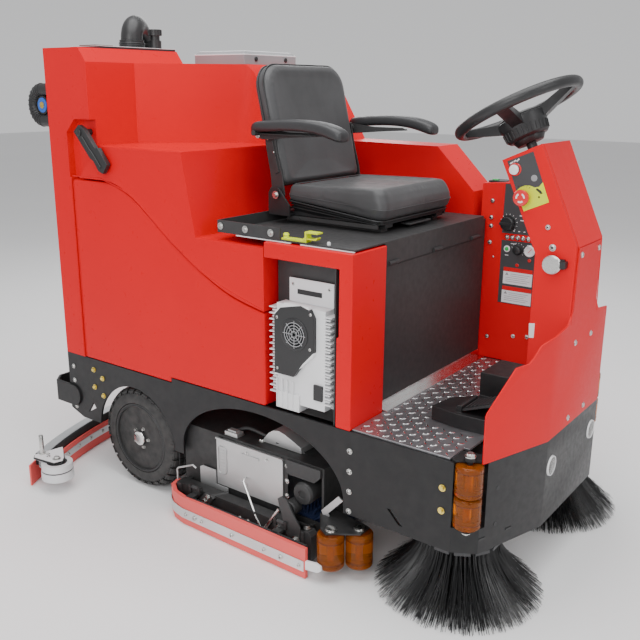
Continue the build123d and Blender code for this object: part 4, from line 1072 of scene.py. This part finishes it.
box(bm, 186, 340, -413, -409.5, 762, 830)
box(bm, 150, 352, -414, -405, 470, 480)
piece("charger_fins", bm, "chassis", "white_paint", edge=0.5)
# the charger's slots, drawn as a thin dark strip and a dark block: painted shade standing for the dark inside
# of the slots
bm = bmesh.new()
box(bm, 215, 300, -414.5, -413, 786, 800)
box(bm, 300, 330, -452, -440, 500, 545)
piece("charger_slot_shade", bm, "chassis", "black_plastic", edge=0.6)


# ---- deck side: hopper plate, latch, motor, skirt straps and rollers ----------------------
def pill(cx, cz, half_x, half_z, r):
    """An outline with four round corners about a centre."""
    return rounded(cx - half_x, cx + half_x, cz - half_z, cz + half_z, (r, r, r, r))


bm = bmesh.new()
side_plate(bm, rect(-88, 183, 277, 281.5), -444, -449)
frame_ring = [Vector((x, -445.2, z)) for x, z in pill(-63, 208, 17, 46, 12)]
tube(bm, frame_ring + frame_ring[:1], 2.2, 8)
for i in range(7):
    box(bm, -76, -50, -445.4, -444.2, 172 + i * 11, 177 + i * 11)
side_plate(bm, pill(20, 148, 22, 12, 5), -444, -446)
piece("hopper_handle", bm, "debris_hopper", "hopper_sheet", edge=0.5)
bm = bmesh.new()
tube(bm, [(34, -446, 179), (40, -462, 172), (112, -494, 103)], 3.0, 10)
for x in (40, 120):
    hex_bolt(bm, (x, -444, 262), RIGHTWARD, 4, 3.5, 6)
piece("hopper_rod", bm, "debris_hopper", "bright_steel")

bm = bmesh.new()
for x, z in ((448, 523), (542, 540), (591, 546)):
    screw(bm, (x, 342, z), RIGHTWARD, 5, 3, 7)
piece("box_low_screws", bm, "chassis", "zinc")
bm = bmesh.new()
facing_right(bm, [(770, 727), (786, 729), (786, 688), (772, 686)], -100)
piece("column_tag", bm, "chassis", "white_paint")

ROLLERS = (("rear", 402, 503), ("front", 462, 448))
HINGE_SPOTS = (-140.0, 210.0)


def deck_side(tag, s):
    """The links, sheets and bolts on one side of the deck."""
    out = (0, s, 0)
    bm = bmesh.new()
    rod(bm, (114, s * 496, 101), (150, s * 502, 60), 3.0, 10)
    tube(bm, [(153, s * 503, 62), (216, s * 503, 156)], 5.5, 12)
    rod(bm, (150, s * 497, 60), (150, s * 512, 60), 9, 20)
    rod(bm, (196, s * 503, 76), (216, s * 503, 104), 7, 16)
    hex_bolt(bm, (279, s * 504, 76), out, 10, 7, 14)
    for x, z in ((-68, 104), (-80, 90), (-96, 72)):
        hex_bolt(bm, (x, s * 509, z), out, 7, 6, 9.5)
    for x in (54, 86, -139, -118):
        screw(bm, (x, s * 496, 68), out, 5.5, 3, 7.5)
    for z in (262, 214, 166):
        screw(bm, (196, s * 440.5, z), out, 5.5, 4, 7.5)
    for _, x, y in ROLLERS:
        lathe(bm, (x, s * y, 152), UP, [(0, 17.5), (1.6, 17.5), (1.8, 15.3), (6.2, 15.3), (7, 13),
                                        (7, 0.01)], 32)
    hex_bolt(bm, (298, s * 474, 109), UP, 9, 6, 12)
    for x in (60, 66, -52, -18):
        screw(bm, (x, s * 400, 291), UP, 6, 6, 8)
    piece(f"deck_metal_{tag}", bm, "scrub_deck", "zinc")

    bm = bmesh.new()
    tube(bm, [(-243, s * 468, 60), (-245, s * 468, 134), (-238, s * 468, 140), (-172, s * 468, 168),
              (-160, s * 466, 160)], 3.4, 10)
    side_plate(bm, [(-162, 98), (-162, 158), (-150, 165), (-92, 165), (-92, 117), (-42, 117), (-42, 98)],
               s * 442, s * 446)
    side_plate(bm, [(385, 226), (402, 216), (350, 160), (368, 129), (343, 98), (325, 104), (345, 128),
                    (326, 163)], s * 441, s * 446)
    arc = [(67, 292), (74, 306), (90, 326), (109, 339), (130, 343), (156, 337), (190, 322), (216, 310),
           (218, 292)]
    side_plate(bm, arc, s * 336, s * 400)
    box(bm, -62, -10, s * 402, s * 432, 291, 305)
    box(bm, -54, -20, s * 408, s * 426, 305, 310)
    piece(f"deck_sheet_{tag}", bm, "scrub_deck", "hopper_sheet", edge=1.0)

    bm = bmesh.new()
    side_plate(bm, [(209, 187), (224, 198), (243, 194), (262, 160), (292, 117), (290, 66), (251, 62),
                    (240, 92)], s * 497, s * 503)
    side_plate(bm, [(-108, 62), (-84, 62), (-46, 104), (-56, 112), (-84, 112), (-108, 84)], s * 496, s * 508)
    side_plate(bm, [(262, 14), (322, 14), (326, 24), (326, 96), (316, 108), (262, 108)], s * 462, s * 494)
    rod(bm, (262, s * 330, 196), (262, s * 446, 196), 35, 40)
    lathe(bm, (262, s * 446, 196), out, [(0, 35), (3, 33), (8, 31), (10, 24), (10, 12), (6, 12), (6, 0.01)])
    rod(bm, (228, s * 440, 146), (228, s * 470, 146), 24, 32)
    lathe(bm, (228, s * 470, 146), out, [(0, 24), (4, 22), (6, 14), (6, 0.01)], 32)
    side_plate(bm, [(196, 286), (322, 286), (322, 262), (300, 240), (206, 240), (196, 250)], s * 436, s * 446)
    for x in (-215, 285):
        side_plate(bm, rect(x, x + 18, 62, 106), s * 496, s * 499)
    rod(bm, (-60, s * 497, 102), (-34, s * 452, 102), 9, 20)
    hose = [(-40, s * 398, 300), (0, s * 392, 316), (40, s * 388, 312), (80, s * 380, 300)]
    tube(bm, curve_points(hose), 6, 12)
    cable = [(262, s * 380, 232), (240, s * 384, 268), (200, s * 390, 300), (120, s * 396, 302)]
    tube(bm, curve_points(cable), 5, 12)
    piece(f"deck_black_{tag}", bm, "scrub_deck", "satin_black", edge=1.0)

    bm = bmesh.new()
    for k in range(8):
        z = 130 + 22 * k
        rod(bm, (-256, s * 330, z), (-256, s * 447, z), 1.5, 6)
    for k in range(6):
        y = 336 + 22 * k
        rod(bm, (-256, s * y, 126), (-256, s * y, 300), 1.5, 6)
    piece(f"wheel_mesh_{tag}", bm, "scrub_deck", "black_plastic")


def skirt_side(tag, s):
    """The strap along one skirt of the deck, with its bolts, end clip, rail and hinges."""
    line = [(346, 554.2), (-146, 546.2), (-172, 540.5), (-198.5, 533), (-222, 519), (-240.6, 502.6),
            (-252.5, 462)]
    bm = bmesh.new()
    grid_solid(bm, [[Vector((x, s * (y - 1), 24)), Vector((x, s * (y + 1.6), 24)),
                     Vector((x, s * (y + 1.6), 57)), Vector((x, s * (y - 1), 57))] for x, y in line])
    piece(f"skirt_strap_{tag}", bm, f"deck_skirt_{tag}", "brushed", edge=0.5)
    bm = bmesh.new()
    for x in (-130, -91, -59, 69, 198, 262, 329):
        y = 546.2 + (x + 146) * 8 / 492 + 1.6
        radius = 6.5 if x in (-91, 69, 262) else 4.5
        screw(bm, (x, s * y, 40), (0, s, 0), radius, 4, 8.5 if x in (-91, 262) else 6)
    piece(f"skirt_bolts_{tag}", bm, f"deck_skirt_{tag}", "zinc")
    bm = bmesh.new()
    side_plate(bm, [(348, 30), (392, 36), (404, 46), (402, 58), (386, 63), (348, 58)], s * 542, s * 553)
    piece(f"skirt_clip_{tag}", bm, f"deck_skirt_{tag}", "white_paint", edge=2.5)
    bm = bmesh.new()
    side_plate(bm, rect(-120, 340, 88, 96.6), s * 530, s * 536)
    piece(f"skirt_rail_{tag}", bm, f"deck_skirt_{tag}", "satin_black", edge=0.8)

    bm = bmesh.new()
    for x in HINGE_SPOTS:
        box(bm, x - 0.6, x + 24.6, s * 499.4, s * 536.6, 87.4, 96.6)
        box(bm, x - 0.6, x + 24.6, s * 499.4, s * 505.6, 96, 112.6)
        rod(bm, (x - 0.6, s * 503, 116), (x + 24.6, s * 503, 116), 7.2, 20)
        rod(bm, (x - 12.4, s * 503, 116), (x + 36.4, s * 503, 116), 4.5, 16)
    piece(f"skirt_hinges_{tag}", bm, f"deck_skirt_{tag}", "satin_black", edge=0.6)


def roller_side(tag, s):
    """The rings and cores of the rollers on one side, and the corner roller's nuts."""
    for key, x, y in ROLLERS:
        bm = bmesh.new()
        for z in (58, 61, 124, 127):
            lathe(bm, (x, s * y, z), UP, [(-0.9, 39), (-0.4, 39.5), (0.4, 39.5), (0.9, 39)])
        lathe(bm, (x, s * y, 146), UP, [(-1, 30), (0.6, 30), (0.6, 12), (-1, 12)], 32)
        for a in turns(6):
            px, py = polar((x, s * y), 24, a)
            rod(bm, (px, py, 39), (px, py, 39.8), 4, 12)
        piece(f"roller_rings_{key}_{tag}", bm, f"deck_roller_{key}_{tag}", "amber_core")
    bm = bmesh.new()
    for z in (282, 334, 368, 424):
        lathe(bm, (779, s * 436, z), UP, [(-1, 36), (-0.5, 36.6), (0.5, 36.6), (1, 36)])
    piece(f"corner_rings_{tag}", bm, f"corner_roller_{tag}", "amber_core")
    bm = bmesh.new()
    hex_bolt(bm, (779, s * 436, 460), UP, 11, 7, 15)
    hex_bolt(bm, (779, s * 436, 250), (0, 0, -1), 10, 5, 14)
    piece(f"corner_nut_{tag}", bm, "chassis", "zinc")


for _tag, _s in SIDES:
    deck_side(_tag, _s)
    skirt_side(_tag, _s)
    roller_side(_tag, _s)


# ---- squeegee -----------------------------------------------------------------------------
ARC_MIDDLE = Vector((-939 + 1362, 0, 0))


def arc_point(radius, degrees, z=0.0):
    """A point of the squeegee's arc, behind its middle."""
    a = math.radians(degrees)
    return ARC_MIDDLE + Vector((-radius * math.cos(a), radius * math.sin(a), z))


def arc_strip(bm, radius, thick, half, z0, z1, steps=60):
    """A strip of even thickness along the arc, to the same angle on both sides."""
    far = radius + thick
    rows = []
    for i in range(steps + 1):
        a = -half + 2 * half * i / steps
        rows.append([arc_point(radius, a, z0), arc_point(far, a, z0), arc_point(far, a, z1),
                     arc_point(radius, a, z1)])
    grid_solid(bm, rows)


bm = bmesh.new()
arc_strip(bm, 1362, 1.8, 29.0, 46, 72)
arc_strip(bm, 1302.2, 1.8, 26.6, 34, 60)
arc_strip(bm, 1316, 36, 28.3, 104, 106)
piece("squeegee_straps", bm, "squeegee", "brushed", edge=0.4)
bm = bmesh.new()
for s in (-1, 1):
    outline = [(px, s * py) for px, py in ((-727, 562), (-749, 659), (-734, 673), (-643, 659), (-635, 631),
                                           (-652, 613))]
    for z in (109.2, 101.4):
        prism(bm, outline, Matrix.Translation((0, 0, z)), 2.4)
piece("squeegee_end_plates", bm, "squeegee", "white_paint", edge=0.5)
bm = bmesh.new()
for i in range(17):
    a = -26 + 52 * i / 16
    direction = (arc_point(1, a) - ARC_MIDDLE).normalized()
    screw(bm, arc_point(1363.6, a, 59), direction, 5.5, 3, 8)
    screw(bm, arc_point(1302.4, a, 47), -direction, 5.5, 3, 8)
for s in (-1, 1):
    hex_bolt(bm, (-660, s * 636, 111.6), UP, 10, 7, 14)
    hex_bolt(bm, (-640, s * 124, 230), (0, s, 0), 9, 6, 13)
    lathe(bm, (-735, s * 640, 112), UP, [(0, 12), (3, 12), (4, 7.6), (66, 7.6), (68.5, 6), (69, 0.01)], 24)
    for x, y in ((-716, 630), (-700, 640)):
        screw(bm, (x, s * y, 110), UP, 5, 3, 7)
piece("squeegee_bolts", bm, "squeegee", "zinc")
bm = bmesh.new()
for s in (-1, 1):
    for i in range(4):
        lathe(bm, (-735, s * 640, 62 + i * 10), UP, [(0, 9), (1.5, 14.5), (7.5, 14.5), (9.5, 9)], 24)
    lathe(bm, (-700, s * 640, 110.2), UP, [(0.2, 12), (0.8, 12), (0.8, 9)], 20)
piece("squeegee_knobs", bm, "squeegee", "grey_print")
for tag, s in SIDES:
    bm = bmesh.new()
    lathe(bm, (-660, s * 636, 0), UP, [(74.5, 50.2), (74.6, 51.5), (77.4, 51.5), (77.5, 50.2)], 48)
    lathe(bm, (-660, s * 636, 101), UP, [(0, 34), (1.2, 33), (1.2, 20), (0.2, 19)], 40)
    piece(f"squeegee_roller_band_{tag}", bm, f"squeegee_roller_{tag}", "black_plastic")


# ---- steering wheel, pedal, lever ---------------------------------------------------------
bm = bmesh.new()
axis = Vector((-math.sin(math.radians(27)), 0, math.cos(math.radians(27))))
hub = Vector((651, 0, 1287))
lathe(bm, hub, axis, [(-21, 60), (-18, 58), (-14, 45), (-12, 20), (-11.5, 0.01)], 48)
lathe(bm, hub, axis, [(-99, 22), (-99, 36), (-86, 44), (-84, 44)], 48)
lathe(bm, hub, axis, [(-84, 30), (-84, 52), (-78, 58), (-52, 62), (-44, 66), (-26, 66), (-22, 60)], 48)
turn = Matrix.Translation(hub) @ frame_of(axis)
for a in turns(28):
    rod(bm, turn @ Vector((*polar((0, 0), 59, a), -76)), turn @ Vector((*polar((0, 0), 62, a), -54)), 2.0, 6)
piece("wheel_hub_parts", bm, "steering_wheel", "black_plastic")
bm = bmesh.new()
for k in range(9):
    x = 670 + k * 12
    z = 500 + (x - 663) * 0.376
    box(bm, x, x + 5, -252, -174, z + 1.5, z + 5.5)
piece("pedal_ribs", bm, "accelerator_pedal", "hose_rubber", edge=0.8)
bm = bmesh.new()
lathe(bm, (-612, -482, 1198), RIGHTWARD, [(0, 11), (3, 11), (5, 8), (5, 0.01)], 28)
tube(bm, [(-598, -483, 1186), (-566, -483, 1148), (-552, -483, 1136), (-516, -483, 1094)], 3.0, 10)
piece("lever_boss", bm, "squeegee_lever", "black_plastic", edge=0.6)
bm = bmesh.new()
for x in (170, 356):
    for i in range(4):
        y = -392 + i * 180 + 86
        lathe(bm, (x, y, 744), UP, [(9, 7), (11, 6), (11, 0.01)], 16)
piece("battery_caps", bm, "chassis", "brass")


# ---- floor, light and camera --------------------------------------------------------------
def stage_set():
    """A pale flat floor, a grey surround, big soft lights and the camera."""
    made, out, tree = shader("floor")
    tint = blend(tree, (0.86, 0.86, 0.86), (0.90, 0.90, 0.90), noise_node(tree, coords(tree), 0.6))
    tree.links.new(tint, out.inputs["Base Color"])
    out.inputs["Roughness"].default_value = 0.75
    bm = bmesh.new()
    bmesh.ops.create_grid(bm, x_segments=1, y_segments=1, size=20)
    mesh = bpy.data.meshes.new("floor")
    bm.to_mesh(mesh)
    bm.free()
    mesh.materials.append(made)
    floor = bpy.data.objects.new("floor", mesh)
    bpy.context.scene.collection.objects.link(floor)
    world = bpy.data.worlds.new("studio")
    bpy.context.scene.world = world
    world.use_nodes = True
    tree = world.node_tree
    back = tree.nodes["Background"]
    grad = tree.nodes.new("ShaderNodeTexGradient")
    coord = tree.nodes.new("ShaderNodeTexCoord")
    turn = tree.nodes.new("ShaderNodeMapping")
    turn.inputs["Rotation"].default_value = (0, math.radians(90), 0)
    ramp = tree.nodes.new("ShaderNodeValToRGB")
    ramp.color_ramp.elements[1].position = 0.5
    ramp.color_ramp.elements[0].color = (0.84, 0.84, 0.85, 1)
    ramp.color_ramp.elements[1].color = (0.66, 0.66, 0.67, 1)
    tree.links.new(coord.outputs["Generated"], turn.inputs["Vector"])
    tree.links.new(turn.outputs["Vector"], grad.inputs["Vector"])
    tree.links.new(grad.outputs["Fac"], ramp.inputs["Fac"])
    tree.links.new(ramp.outputs["Color"], back.inputs["Color"])
    back.inputs["Strength"].default_value = WORLD_LIGHT
    for name, spot, aim, size, power in LIGHTS:
        lamp = bpy.data.lights.new(name, "AREA")
        lamp.shape = "RECTANGLE"
        lamp.size, lamp.size_y = size
        lamp.energy = power
        obj = bpy.data.objects.new(name, lamp)
        obj.location = spot
        obj.rotation_euler = (Vector(aim) - Vector(spot)).to_track_quat("-Z", "Y").to_euler()
        bpy.context.scene.collection.objects.link(obj)
    azimuth, pitch, roll = math.radians(36.557), math.radians(15.935), math.radians(0.355)
    back_dir = Vector((math.sin(azimuth) * math.cos(pitch), -math.cos(azimuth) * math.cos(pitch),
                       math.sin(pitch)))
    right = Vector(UP).cross(back_dir).normalized()
    up = back_dir.cross(right)
    right, up = (right * math.cos(roll) + up * math.sin(roll), up * math.cos(roll) - right * math.sin(roll))
    cam = bpy.data.cameras.new("camera")
    cam.lens = 46.0
    cam.sensor_width = 36.0
    obj = bpy.data.objects.new("camera", cam)
    turn = Matrix((right, up, back_dir)).transposed().to_4x4()
    obj.matrix_world = Matrix.Translation((1.5869, -2.1576, 1.3430)) @ turn
    bpy.context.scene.collection.objects.link(obj)
    bpy.context.scene.camera = obj


WORLD_LIGHT = 0.85
LIGHTS = (
    ("top", (0.3, -0.5, 4.2), (0.1, -0.1, 0), (4.0, 4.0), 190),
    ("side", (1.2, -4.2, 2.6), (-0.1, 0, 0.7), (3.0, 2.2), 90),
    ("front", (4.2, -0.8, 2.2), (0.5, -0.1, 0.7), (1.4, 2.4), 26),
    ("rim", (-2.4, 2.8, 2.6), (0, 0, 0.8), (2.0, 2.0), 40),
)
stage_set()
